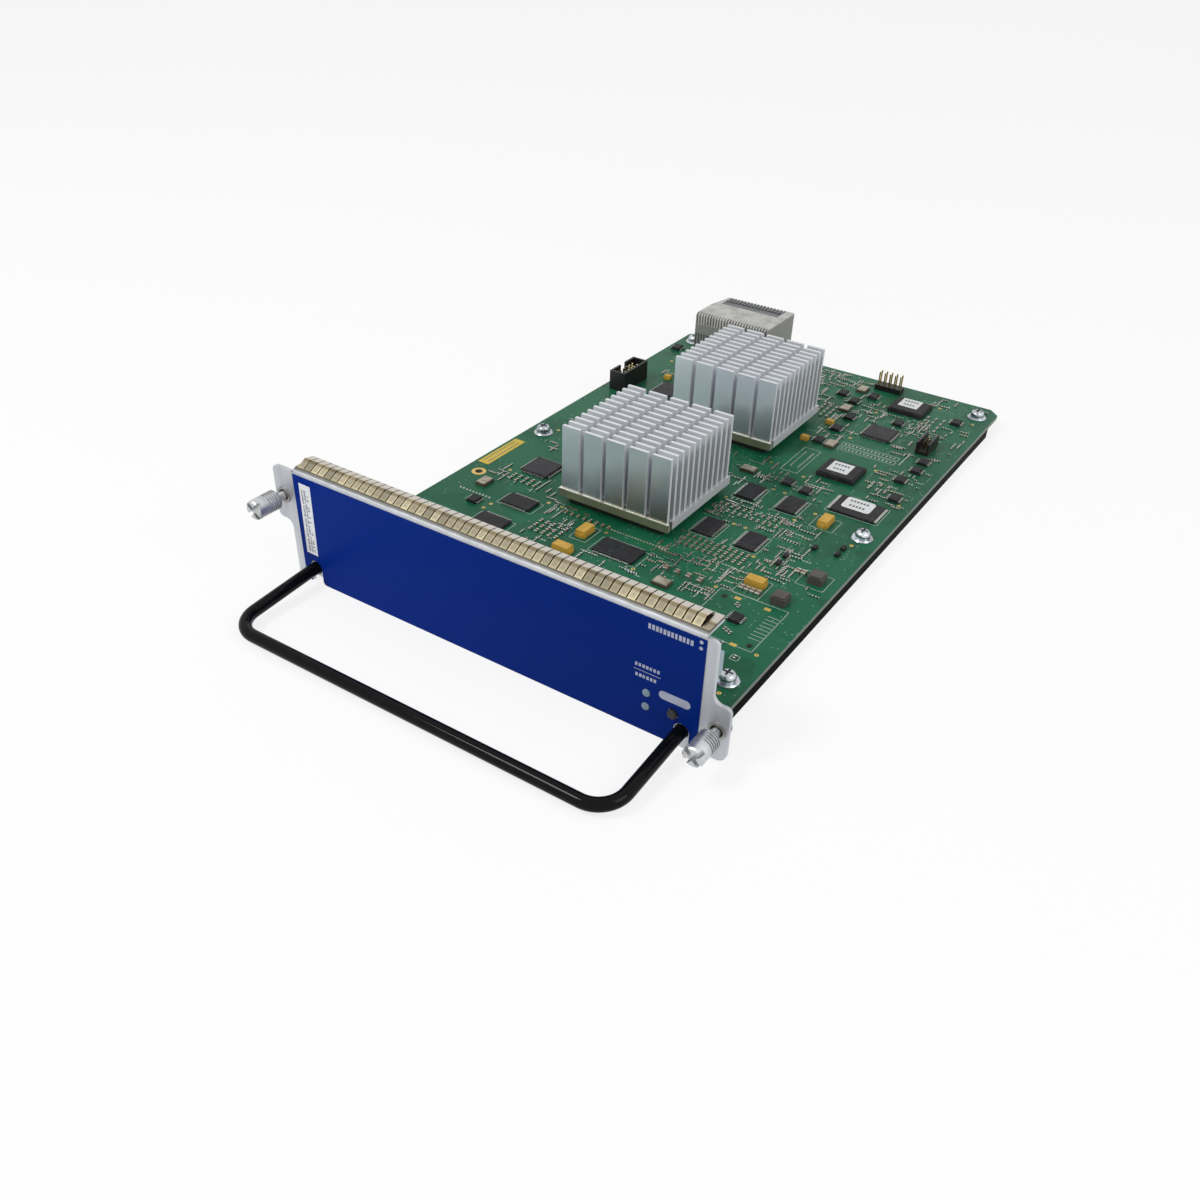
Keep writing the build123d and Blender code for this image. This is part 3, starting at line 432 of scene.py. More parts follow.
def finger_finish(colour):
    """Tinted spring alloy: tan slopes with a dull middle, brown crests, grey tips, and painted shade in the
    gaps, where the strip beneath the fingers is darkened.
    """
    paint = Paint("spring_fingers")
    along = paint.x * TO_MM - FINGER_START
    across = along % FINGER_PITCH
    back = (paint.y - PANEL_FACE) * TO_MM
    own = paint.by_number(along * (1.0 / FINGER_PITCH))
    tint = paint.noise(90.0, 3.0, (1.0, 0.25, 0.25)) * 0.6 + own * 0.4
    stained = paint.ramp(tint, (0.3, toned(colour, 0.68)), (0.5, colour), (0.7, toned(colour, 1.25)))
    slope = paint.fade(abs(back - SLOPE_MIDDLE), 1.5, 0.7)
    middle = paint.fade(abs(across - FINGER_MIDDLE), 1.15, 0.6) * slope
    weave = paint.noise(1500.0, 2.0, (0.4, 1.0, 1.0)) * 0.8 + 0.2
    fingers = paint.blend(middle * weave, stained, (0.25, 0.245, 0.20))
    # A darker brown band along each finger's crest.
    crest = paint.fade(abs(back - CREST), 0.9, 0.3) * (paint.noise(200.0, 2.0) * 0.7 + 0.3)
    crest_browned = paint.blend(crest, fingers, (0.12, 0.085, 0.045))
    tips = paint.fade(back, TIP_START, TIP_END)
    tipped = paint.blend(tips, crest_browned, (0.56, 0.53, 0.47))
    # Painted shade: low inside the finger field, the strip seen between the fingers is darkened to near black
    # and made less metallic.
    inside = abs(paint.x * TO_MM - STRIP_CENTRE[0]) < STRIP_HALF[0]
    under = (paint.z * TO_MM < FLANGE_TOP + 0.22) * inside * (abs(back - STRIP_CENTRE[1]) < STRIP_HALF[1])
    paint.feed("Base Color", paint.blend(under, tipped, (0.02, 0.016, 0.01)))
    paint.feed("Metallic", 0.8 - under * 0.8 - tips * 0.3)
    paint.feed("Roughness", own * 0.2 + paint.noise(240.0, 3.0) * 0.15 + 0.12)
    paint.bump(paint.noise(420.0, 3.0) + own * 0.5, 0.00009, 0.6)
    return paint.material


def board_finish(colour):
    """Solder mask over copper: planes, fine tracks and small dots seen through the green, and a dull edge."""
    paint = Paint("solder_mask", Specular_IOR_Level=0.12)
    plane = paint.noise(38.0, 2.0) > 0.5
    cell = paint.cells(70.0, "Color", "CHEBYCHEV")
    turn = paint.node("ShaderNodeSeparateColor", feeds={"Color": cell}, output="Red") > 0.5
    along_x, along_y = (((axis * TO_MM) % TRACK_PITCH) < TRACK_WIDTH for axis in (paint.x, paint.y))
    tracks = along_x * turn + along_y * (1.0 - turn)
    shown = tracks * (paint.noise(55.0, 1.0) > 0.47)
    dots = paint.cells(420.0) < 0.17
    light = (colour[0] * 1.6 + 0.01, colour[1] * 1.25, colour[2] * 1.25)
    ground = paint.blend(plane, toned(colour, 0.78), colour)
    tracked = paint.blend(shown * 0.55, ground, light)
    dotted = paint.blend(dots * (paint.noise(26.0, 1.0) > 0.5) * 0.7, tracked, (0.16, 0.26, 0.2))
    edge = (paint.z < BOARD_TOP - 0.12 * MM) * 1.0
    paint.feed("Base Color", paint.blend(edge, dotted, (0.12, 0.145, 0.13)))
    paint.rough(0.28, 0.42, 300.0)
    paint.bump(shown * 0.6 + plane * 0.3, 0.00004, 0.5)
    return paint.material


def fin_finish(colour):
    """Drawn aluminium: clouded faces with painted light, lighter high up, towards the left and on the rear
    sink, a painted green-grey reflection of the board low down, paler painted light on the fins behind the
    first, pale sawn ends and tops, a painted reflection of the board on the dull foot and a painted highlight
    on the ledge.
    """
    paint = Paint("fin_aluminium", Specular_IOR_Level=0.4)
    run = (paint.x * TO_MM - FIN_START) % FIN_PITCH
    first, second = (abs(run - end) < SAW_MARK for end in SAWN_ENDS)
    sawn = (first + second).maths("MAXIMUM", paint.z > FIN_TOP - 0.04 * MM)
    back = ((paint.y - PANEL_FACE) * TO_MM - SINK_START) % SINK_PITCH
    inner = (back > FIRST_FIN) * (back < PAST_SINK)
    cloud = paint.noise(55.0, 2.0, (1.0, 1.0, 0.6)) * 0.012
    # Painted light: the faces get lighter higher up and towards the left, and the rear sink is lifted
    # brighter; low down they take a painted green-grey reflection of the board.
    rear = (paint.y - PANEL_FACE > (SINK_START + PAST_SINK) * MM) * 0.32
    rise = paint.fade(paint.z + cloud - paint.x * 0.25 - 0.003, SINK_BASE - 2.0 * MM, FIN_TOP) + rear
    painted_board_reflection, half_way, top = (0.15, 0.17, 0.145), toned(colour, 0.6), toned(colour, 1.4)
    faces = paint.ramp(rise, (0.0, painted_board_reflection), (0.4, half_way), (0.8, colour), (1.0, top))
    # Painted light: the faces of the fins behind the first, seen only through the gaps, are paler and less
    # metallic.
    painted_light_behind = paint.blend(inner * 0.9, faces, (0.60, 0.62, 0.65))
    cut = paint.blend(sawn, painted_light_behind, (0.72, 0.73, 0.76))
    # Painted reflection: the foot's front is dulled to a dark olive, standing in for the green board mirrored
    # in it.
    foot = (paint.z < SINK_BASE - 0.06 * MM) * (1.0 - (back > 0.05) * (back < NEXT_FRONT))
    # Painted highlight: the ledge on top of the base is a bright tan line, standing in for the lit gasket
    # mirrored in it.
    painted_highlight_ledge = (paint.z < SINK_BASE + 0.06 * MM) * (1.0 - foot) * (1.0 - (back > LEDGE) * (back < NEXT_FRONT))
    dull = paint.blend(foot, cut, (0.26, 0.27, 0.18))
    paint.feed("Base Color", paint.blend(painted_highlight_ledge, dull, (0.88, 0.85, 0.72)))
    paint.feed("Metallic", 0.65 - sawn * 0.4 - inner * (1.0 - sawn) * 0.6)
    paint.feed("Roughness", paint.noise(900.0, 3.0, (1.0, 1.0, 0.03)) * 0.08 + 0.27 + sawn * 0.2)
    paint.bump(paint.noise(700.0, 1.0), 0.000004, 0.3)
    return paint.material


def connector_finish():
    """Glass-filled moulding: pale and clouded on top, with painted shade darkening its front and its right
    side.
    """
    paint = Paint("connector_grey", Specular_IOR_Level=0.25)
    low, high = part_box("backplane_connector")
    cloud = paint.mottled((0.47, 0.465, 0.445), 0.22, 240.0)
    # Painted shade: the front and the right side are darkened as if turned away from the light.
    front = (paint.y < low[1] + 0.3 * MM) * (paint.z < high[2] - 5.2 * MM)
    side = (paint.x > high[0] - 0.3 * MM) * (paint.z < high[2] - 0.5 * MM)
    paint.feed("Base Color", paint.blend(front.maths("MAXIMUM", side), cloud, (0.24, 0.245, 0.23)))
    paint.rough(0.4, 0.55, 700.0)
    paint.bump(paint.noise(2600.0, 2.0), 0.00002, 0.3)
    return paint.material


def oscillator_finish():
    """Metal lid on a dark ceramic base."""
    paint = Paint("oscillator_can")
    lid = (paint.z > BOARD_TOP + 1.1 * MM) * 1.0
    metal = paint.mottled((0.34, 0.30, 0.23), 0.35, 420.0)
    paint.feed("Base Color", paint.blend(lid, (0.075, 0.06, 0.045), metal))
    paint.feed("Metallic", lid * 0.8)
    paint.rough(0.28, 0.45, 500.0)
    return paint.material


def chip_finish(name, colour):
    """Moulded package: dark, finely pitted, with faint paler rows where a laser has marked the top."""
    paint = Paint(name, Specular_IOR_Level=0.12)
    row_pitch, row_height = 2.4, 1.0
    rows = ((paint.y * TO_MM) % row_pitch) < row_height
    marks = rows * (paint.noise(700.0, 1.0, (1.0, 0.3, 1.0)) > 0.52) * (paint.noise(90.0, 1.0) > 0.5)
    pale = tuple(c * 1.7 + 0.012 for c in colour)
    paint.feed("Base Color", paint.blend(marks * 0.6, paint.mottled(colour, 0.2, 260.0), pale))
    paint.rough(0.42, 0.6, 900.0)
    paint.bump(paint.noise(3200.0, 2.0), 0.00002, 0.35)
    return paint.material


def clear_finish():
    """Milky light pipe with painted shade: a dark base colour stands in for the panel's depth seen through
    it.
    """
    paint = Paint("light_pipe", Coat_Weight=0.5, Coat_Roughness=0.05)
    paint.feed("Base Color", paint.mottled((0.13, 0.19, 0.25), 0.3, 700.0))
    paint.rough(0.1, 0.25, 500.0)
    return paint.material


# Meshes worked out with numpy


def put_mesh(name, points, faces, paints, marks=None):
    """Makes one piece from an array of points and an array of faces of equal length, and lets it ride."""
    mesh = bpy.data.meshes.new(name)
    corners = faces.shape[1]
    mesh.vertices.add(len(points))
    mesh.vertices.foreach_set("co", np.asarray(points, dtype=np.float32).ravel())
    mesh.loops.add(faces.size)
    mesh.loops.foreach_set("vertex_index", np.asarray(faces, dtype=np.int32).ravel())
    mesh.polygons.add(len(faces))
    mesh.polygons.foreach_set("loop_start", np.arange(0, faces.size, corners, dtype=np.int32))
    for paint in paints:
        mesh.materials.append(paint)
    if marks is not None:
        mesh.polygons.foreach_set("material_index", np.asarray(marks, dtype=np.int32))
    mesh.polygons.foreach_set("use_smooth", np.full(len(faces), False))
    mesh.update(calc_edges=True)
    mesh.validate()
    piece = bpy.data.objects.new(name, mesh)
    bpy.context.scene.collection.objects.link(piece)
    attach(piece, "card")
    return piece


BOX_CORNERS = np.array([(x, y, z) for z in (0.0, 1.0) for y in (-0.5, 0.5) for x in (-0.5, 0.5)])
BOX_SIDES = np.array([(0, 1, 5, 4), (1, 3, 7, 5), (3, 2, 6, 7), (2, 0, 4, 6), (4, 5, 7, 6), (0, 2, 3, 1)])


def many_boxes(places, sizes, turns=None):
    """Boxes that stand on their places: corner = place + turn(size * unit corner), for all at once."""
    corners = BOX_CORNERS[None] * sizes[:, None, :]
    if turns is not None:
        cos, sin = np.cos(turns)[:, None], np.sin(turns)[:, None]
        x, y = corners[..., 0].copy(), corners[..., 1].copy()
        corners[..., 0] = x * cos - y * sin
        corners[..., 1] = x * sin + y * cos
    points = corners + places[:, None, :]
    faces = BOX_SIDES[None] + 8 * np.arange(len(places))[:, None, None]
    return points.reshape(-1, 3), faces.reshape(-1, 4)


def put_boxes(name, places, sizes, paint, turns=None):
    """One piece of many boxes. The sizes are in millimetres, one for each box or one for all."""
    each = np.broadcast_to(np.asarray(sizes) * MM, (len(places), 3))
    points, faces = many_boxes(places, each, turns)
    put_mesh(name, points, faces, [paint])


def put_face_bars(name, spans, face, paint):
    """Flat bars on an upright face: place = middle of x0 and x1, on z0; size = x1 - x0 and z1 - z0."""
    x0, x1, z0, z1 = np.array(spans).T
    deep = np.full(len(x0), INK)
    places = np.column_stack([(x0 + x1) / 2 * MM, face - deep * MM / 2, z0 * MM])
    put_boxes(name, places, np.column_stack([x1 - x0, deep, z1 - z0]), paint)


def band(sides):
    """Faces between two loops of points: each point, the next one, and the same two on the second loop."""
    one = np.arange(sides)
    two = (one + 1) % sides
    return np.column_stack([one, two, two + sides, one + sides])


def put_spot(name, x, z, reach, radius, paint):
    """A disc or slot for each angle a: x + reach * sign(cos a) + radius * cos a, z + radius * sin a."""
    angle = np.linspace(0, 2 * np.pi, SPOT_SIDES, endpoint=False)
    side = np.sign(np.cos(angle + 0.001))
    around = (x + reach * side + radius * np.cos(angle)) * MM, (z + radius * np.sin(angle)) * MM
    rim = np.column_stack([around[0], np.full(SPOT_SIDES, FILM_FACE), around[1]])
    proud = (0, INK * MM, 0)
    middle = rim.mean(axis=0, keepdims=True) - proud
    points = np.concatenate([rim, rim - proud, np.repeat(middle, SPOT_SIDES, axis=0)])
    wall = band(SPOT_SIDES)
    put_mesh(name, points, np.concatenate([wall, wall + SPOT_SIDES]), [paint])


def board_points(plan, lift=0.0):
    """Plan places in millimetres turned to points on or above the board's top, in metres."""
    plan = np.asarray(plan, dtype=float)
    high = np.full(len(plan), BOARD_TOP + lift * MM)
    return np.column_stack([plan[:, 0] * MM, PANEL_FACE + plan[:, 1] * MM, high])


def rings(centres, inner, outer, height, sides=16):
    """Flat raised rings: for each angle a, (cos a, sin a) times the inner and outer radius, low and high."""
    angle = np.linspace(0, 2 * np.pi, sides, endpoint=False)
    circle = np.column_stack([np.cos(angle), np.sin(angle), np.zeros(sides)])
    up = np.array([0, 0, height])
    loops = np.concatenate([circle * outer, circle * outer + up, circle * inner + up, circle * inner])
    points = (centres[:, None, :] + loops[None]).reshape(-1, 3)
    strip = band(sides)
    faces = np.concatenate([strip, strip + sides, strip + 2 * sides])
    faces = faces[None] + 4 * sides * np.arange(len(centres))[:, None, None]
    return points, faces.reshape(-1, 4)


def grid_places(rows):
    """Every place of some grids: x = x0 + column * step x and y = y0 + line * step y."""
    found = []
    for x0, y0, columns, lines, step_x, step_y in rows:
        across, along = np.meshgrid(np.arange(columns), np.arange(lines), indexing="ij")
        found.append(np.column_stack([x0 + across.ravel() * step_x, y0 + along.ravel() * step_y]))
    return np.concatenate(found)


def rooms(places, half_width, half_length):
    """Plan rectangles round places: x0, y0, x1, y1."""
    return [(x - half_width, y - half_length, x + half_width, y + half_length) for x, y in places]


def crowd_places(seed):
    """Short rows of tiny parts in the crowded areas, clear of the larger parts: start + n * step."""
    chance = np.random.default_rng(seed)
    pitch, cell_size = 1.25, 1.1
    found = []
    for x0, y0, x1, y1, rows in CROWDS:
        starts = chance.uniform((x0, y0), (x1, y1), (rows, 2))
        lengths = chance.integers(2, 7, rows)
        turned = chance.random(rows) < 0.5
        kinds = chance.random(rows)
        for (x, y), length, across, kind in zip(starts, lengths, turned, kinds):
            step_x, step_y, turn = (pitch, 0.0, np.pi / 2) if across else (0.0, pitch, 0.0)
            found += [(x + n * step_x, y + n * step_y, turn, kind) for n in range(length)]
    found = np.array(found)
    blocked = []
    for places, width, length, _, _, _ in LEADED:
        blocked += rooms(places, width / 2 + CHIP_ROOM, length / 2 + CHIP_ROOM)
    blocked += rooms(grid_places(SMALL_GRIDS), *CAPACITOR_ROOM)
    blocked += rooms(VIAS, VIA_ROOM, VIA_ROOM) + rooms(SCREWS, SCREW_ROOM, SCREW_ROOM)
    walls = np.array(blocked + KEEP_CLEAR)[None]
    place = found[:, None, :2]
    inside = ((place > walls[..., :2]) & (place < walls[..., 2:])).all(axis=2).any(axis=1)
    on_field = ((found[:, :2] >= FIELD[:2]) & (found[:, :2] <= FIELD[2:])).all(axis=1)
    found = found[on_field & ~inside]
    cell = np.round(found[:, :2] / cell_size).astype(int)
    found = found[np.unique(cell, axis=0, return_index=True)[1]]
    return found[:, :2], found[:, 2], found[:, 3]


def ended_parts(plan, turns, width, length, height, end):
    """Three boxes each: a body, and caps a little larger, at place - and + run * (length - end) / 2."""
    base = board_points(plan)
    run = np.column_stack([-np.sin(turns), np.cos(turns), np.zeros(len(turns))]) * MM
    reach = (length - end) / 2
    places = np.concatenate([base, base - run * reach, base + run * reach])
    body = width, length - 2 * end, height
    cap = width + END_WIDER, end, height + END_HIGHER
    sizes = np.repeat([body, cap, cap], len(plan), axis=0) * MM
    points, faces = many_boxes(places, sizes, np.tile(turns, 3))
    return points, faces, np.repeat([0, 1, 1], len(BOX_SIDES) * len(plan))


def outline_bars(boxes, line):
    """Four thin bars round each plan rectangle, on the middle of each side: long = side + line."""
    x0, y0, x1, y1 = np.asarray(boxes, dtype=float).T
    mid_x, mid_y = (x0 + x1) / 2, (y0 + y1) / 2
    wide, deep = x1 - x0 + line, y1 - y0 + line
    thin = np.full(len(x0), line)
    sides = (mid_x, y0, wide, thin), (mid_x, y1, wide, thin), (x0, mid_y, thin, deep), (x1, mid_y, thin, deep)
    bars = np.concatenate([np.column_stack(side) for side in sides])
    return bars[:, :2], bars[:, 2:]


def lead_boxes(places, width, length, height, count, sides):
    """Shoulders and feet of gull-wing leads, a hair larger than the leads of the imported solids."""
    plan, sizes, lifts = [], [], []
    for axis in sides:
        run_length, half = (length, width / 2) if axis == "x" else (width, length / 2)
        run = (np.arange(count) - (count - 1) / 2) * run_length * LEAD_SHARE / count
        top = height / 2 + LEAD_PROUD
        shoulder = half + SHOULDER_OUT, SHOULDER_LONG, top - SHOULDER_THICK, SHOULDER_THICK
        foot = half + FOOT_OUT, FOOT_LONG, 0.0, top
        for sign in (-1, 1):
            for out, reach, low, rise in (shoulder, foot):
                along = np.column_stack([np.full(count, sign * out), run])
                size = np.tile([reach, LEAD_WIDTH, rise], (count, 1))
                if axis == "y":
                    along, size = along[:, ::-1], size[:, [1, 0, 2]]
                for x, y in places:
                    plan.append(along + (x, y))
                    sizes.append(size)
                    lifts.append(np.full(count, low))
    return np.concatenate(plan), np.concatenate(sizes), np.concatenate(lifts)


# Properties


def colour_of(name, description, default):
    return FloatVectorProperty(name=name, description=description, subtype="COLOR", size=3, default=default)


def number_of(name, description, default, **limits):
    return FloatProperty(name=name, description=description, default=default, **limits)


class LineCardColours(bpy.types.PropertyGroup):
    """Main colours of the card."""

    film: colour_of("Film", "Printed film on the panel", (0.002, 0.021, 0.195))
    zinc: colour_of("Zinc", "Plated panel sheet", (0.52, 0.54, 0.57))
    fingers: colour_of("Fingers", "Spring finger strip", (0.52, 0.45, 0.29))
    mask: colour_of("Solder mask", "Green of the board", (0.008, 0.112, 0.054))
    fins: colour_of("Fins", "Heat sink metal", (0.60, 0.66, 0.72))
    package: colour_of("Packages", "Moulded chips", (0.022, 0.022, 0.024))
    coating: colour_of("Coating", "Black of the handle", (0.004, 0.004, 0.0045))
    gold: colour_of("Gold", "Plated rings", (0.66, 0.45, 0.14))


class LineCardSizes(bpy.types.PropertyGroup):
    """Sizes of what the looks add, in millimetres, and how it is scattered."""

    via: number_of("Via ring", "Outer diameter of the gold rings", 1.5, min=0.5, max=3.0)
    tiny_width: number_of("Tiny width", "Width of the tiny chip parts", 0.6, min=0.3, max=1.0)
    tiny_length: number_of("Tiny length", "Length of the tiny chip parts", 1.15, min=0.6, max=2.0)
    line: number_of("Legend line", "Width of the board's pale lines", 0.22, min=0.1, max=0.5)
    seed: IntProperty(name="Seed", description="Which scatter of tiny parts is used", default=7, min=0)


class LineCardStage(bpy.types.PropertyGroup):
    """Camera and light."""

    lens: number_of("Lens", "Focal length, in mm", 33.44, min=10.0)
    shift_x: number_of("Shift across", "Camera shift to the side", 0.0058)
    shift_y: number_of("Shift up", "Camera shift upwards", 0.0323)
    sky: number_of("Sky", "Strength of the even light", 0.55, min=0.0)
    key: number_of("Key", "Power of the front lamp, in W", 5.5, min=0.0)
    fill: number_of("Fill", "Power of the side lamp, in W", 3.4, min=0.0)
    whiteness: number_of("Whiteness", "How white the floor looks", 0.8, min=0.0, max=1.0)


# Operators


def paint_nodes(material, *nodes):
    """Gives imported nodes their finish."""
    for node in nodes:
        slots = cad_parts[node].data.materials
        slots.clear()
        slots.append(material)


class LINECARD_OT_panel(bpy.types.Operator):
    """Finishes the panel, its film and label, the handle and what holds them"""

    bl_idname = "linecard.panel"
    bl_label = "Panel and handle"

    def execute(self, context):
        colours = context.scene.line_card_colours
        bracket = sheet_metal("bracket_steel", (0.27, 0.34, 0.40), 0.28, 0.45, (1.0, 1.0, 0.3))
        turned = sheet_metal("turned_steel", (0.52, 0.53, 0.54), 0.34, 0.5, (0.4, 1.0, 0.4), 900.0, 0.3)
        plated = sheet_metal("pressed_rings", (0.36, 0.35, 0.33), 0.25, 0.45)
        paint_nodes(plate_finish(colours.zinc), "faceplate")
        paint_nodes(bracket, "faceplate_brackets")
        paint_nodes(turned, "captive_screw_left", "captive_screw_right", "handle_nuts")
        paint_nodes(plated, "screw_ferrules", "retaining_clip_left", "retaining_clip_right", "bracket_rivets")
        paint_nodes(film_finish(colours.film), "face_overlay")
        paint_nodes(label_finish("label_stock", (0.80, 0.82, 0.86)), "face_label")
        paint_nodes(rod_finish(colours.coating), "handle")
        paint_nodes(finger_finish(colours.fingers), "emi_gasket")
        paint_nodes(moulding("button_plastic", (0.02, 0.02, 0.022), 0.3, 0.45), "push_button")
        paint_nodes(moulding("switch_plastic", (0.03, 0.03, 0.03)), "switch_body")
        paint_nodes(clear_finish(), "light_pipes")
        paint_nodes(moulding("lamp_body", (0.6, 0.6, 0.5)), "indicator_lamp")
        return {"FINISHED"}


class LINECARD_OT_panel_print(bpy.types.Operator):
    """Adds the plain pale marks on the film and the dark bars on the label"""

    bl_idname = "linecard.panel_print"
    bl_label = "Panel print"

    def execute(self, context):
        pale = moulding("pale_ink", (0.34, 0.37, 0.46), 0.35, 0.5)
        dark = moulding("dark_ink", (0.10, 0.11, 0.13), 0.4, 0.6)
        chance = np.random.default_rng(3)
        bars = [RULE]
        for x0, x1, z0, z1 in WORDS:
            starts = np.arange(x0, x1 - 0.6, LETTER_PITCH)
            widths = chance.uniform(*LETTER_WIDTH, len(starts))
            bars += [(x, x + wide, z0, z1) for x, wide in zip(starts, widths)]
        put_face_bars("panel_marks", bars, FILM_FACE, pale)
        for number, spot in enumerate(SPOTS):
            put_spot(f"panel_spot_{number}", *spot, pale)
        rows = []
        for x, share in LABEL_COLUMNS:
            starts = np.arange(LABEL_BOTTOM, LABEL_TOP, LABEL_PITCH)
            starts = starts[chance.random(len(starts)) < share]
            heights = chance.uniform(*BAR_HEIGHT, len(starts))
            rows += [(x - 0.4, x + 0.4, z, z + high) for z, high in zip(starts, heights)]
        put_face_bars("label_bars", rows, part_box("face_label")[0][1], dark)
        return {"FINISHED"}


class LINECARD_OT_board(bpy.types.Operator):
    """Finishes the board and tray and adds the legend, pads and gold rings"""

    bl_idname = "linecard.board"
    bl_label = "Board and tray"

    def execute(self, context):
        colours = context.scene.line_card_colours
        sizes = context.scene.line_card_sizes
        bright = sheet_metal("zinc_fasteners", (0.44, 0.47, 0.50), 0.14, 0.3, spread=0.5)
        paint_nodes(board_finish(colours.mask), "circuit_board")
        paint_nodes(moulding("black_tray", (0.003, 0.0036, 0.004), 0.2, 0.34, 1400.0, sheen=0.002), "tray")
        paint_nodes(bright, "tray_standoffs", "board_screws", "lock_washers", "bracket_screws")
        gold = sheet_metal("gold_plate", colours.gold, 0.22, 0.36)
        points, faces = rings(board_points(VIAS), 0.32 * MM, sizes.via / 2 * MM, 0.03 * MM)
        put_mesh("via_rings", points, faces, [gold])
        points, faces = rings(board_points([TOOLING_HOLE]), 1.55 * MM, 3.0 * MM, 0.04 * MM, 32)
        put_mesh("gold_ring", points, faces, [gold])
        legend = moulding("legend_ink", (0.42, 0.47, 0.43), 0.45, 0.6)
        line = sizes.line
        frames = []
        for places, width, length, _, _, _ in LEADED[:4]:
            frames += rooms(places, width / 2 + FRAME_ACROSS, length / 2 + FRAME_ALONG)
        plan, size = outline_bars(frames + LEGEND_FRAMES, line)
        ticks = grid_places(TICK_GRID)
        plan = np.concatenate([plan, ticks])
        size = np.concatenate([size, np.tile([5.0, line], (len(ticks), 1))])
        size = np.column_stack([size, np.full(len(size), INK)])
        put_boxes("legend_lines", board_points(plan), size, legend)
        solder = sheet_metal("solder_pads", (0.50, 0.50, 0.46), 0.25, 0.45)
        put_boxes("bare_pads", board_points(grid_places(PAD_GRIDS)), (0.7, 0.9, 0.04), solder)
        yellow = moulding("yellow_pads", (0.56, 0.40, 0.10), 0.35, 0.5)
        put_boxes("copper_squares", board_points(COPPER_SQUARES), (2.4, 1.6, 0.05), yellow)
        return {"FINISHED"}


class LINECARD_OT_heat_sinks(bpy.types.Operator):
    """Finishes the heat sinks and the packages under them"""

    bl_idname = "linecard.heat_sinks"
    bl_label = "Heat sinks"

    def execute(self, context):
        colours = context.scene.line_card_colours
        paint_nodes(fin_finish(colours.fins), "heat_sink_front", "heat_sink_rear")
        paint_nodes(moulding("substrate", (0.03, 0.032, 0.03)), "processor_front", "processor_rear")
        paint_nodes(moulding("pad_rubber", (0.3, 0.3, 0.32)), "thermal_pads")
        return {"FINISHED"}


class LINECARD_OT_connectors(bpy.types.Operator):
    """Finishes the rear connector and the pin headers"""

    bl_idname = "linecard.connectors"
    bl_label = "Connectors"

    def execute(self, context):
        gold = sheet_metal("pin_gold", (0.70, 0.58, 0.32), 0.18, 0.3)
        dull = sheet_metal("contact_gold", (0.22, 0.17, 0.08), 0.25, 0.4)
        black = moulding("header_black", (0.012, 0.012, 0.013), 0.3, 0.45)
        paint_nodes(connector_finish(), "backplane_connector")
        paint_nodes(moulding("wafer_grey", (0.16, 0.165, 0.17), 0.4, 0.55), "connector_wafers")
        paint_nodes(black, "box_header", "post_header", "mini_header")
        paint_nodes(gold, "box_header_pins", "post_header_pins")
        paint_nodes(dull, "mini_header_pins")
        return {"FINISHED"}


class LINECARD_OT_chips(bpy.types.Operator):
    """Finishes the chips and covers their leads with plated metal"""

    bl_idname = "linecard.chips"
    bl_label = "Chips"

    def execute(self, context):
        package = context.scene.line_card_colours.package
        black = chip_finish("package_black", package)
        paint_nodes(black, "memory_chips", "driver_chips", "buffer_chip", "flash_chip", "controller_chips")
        paint_nodes(black, "small_chips", "diodes")
        paint_nodes(chip_finish("package_grey", toned(package, 1.7)), "quad_chips")
        tin = sheet_metal("lead_tin", (0.48, 0.48, 0.45), 0.25, 0.4)
        rows = [lead_boxes(*row) for row in LEADED]
        plan, sizes, lifts = (np.concatenate(parts) for parts in zip(*rows))
        put_boxes("chip_leads", board_points(plan, lifts), sizes, tin)
        return {"FINISHED"}


class LINECARD_OT_labels(bpy.types.Operator):
    """Finishes the stickers on the chips and the yellow label, and adds their plain bars"""

    bl_idname = "linecard.labels"
    bl_label = "Board labels"

    def execute(self, context):
        paint_nodes(label_finish("chip_label", (0.74, 0.75, 0.76)), "chip_labels")
        paint_nodes(label_finish("yellow_label", (0.62, 0.46, 0.06)), "board_label")
        ink = moulding("label_ink", (0.14, 0.14, 0.15), 0.4, 0.6)
        bars = []
        for x, y, w, l, h in STICKERS:
            for row, share in STICKER_ROWS:
                steps = np.arange(-w * share / 2, w * share / 2, STICKER_PITCH)
                bars += [(x + step, y + l * row, h + 0.1) for step in steps]
        bars = np.array(bars)
        put_boxes("sticker_bars", board_points(bars[:, :2], bars[:, 2]), (0.85, 1.5, INK), ink)
        put_boxes("label_marks", board_points(grid_places(MARK_GRID), 0.1), (0.8, 0.8, INK), ink)
        return {"FINISHED"}


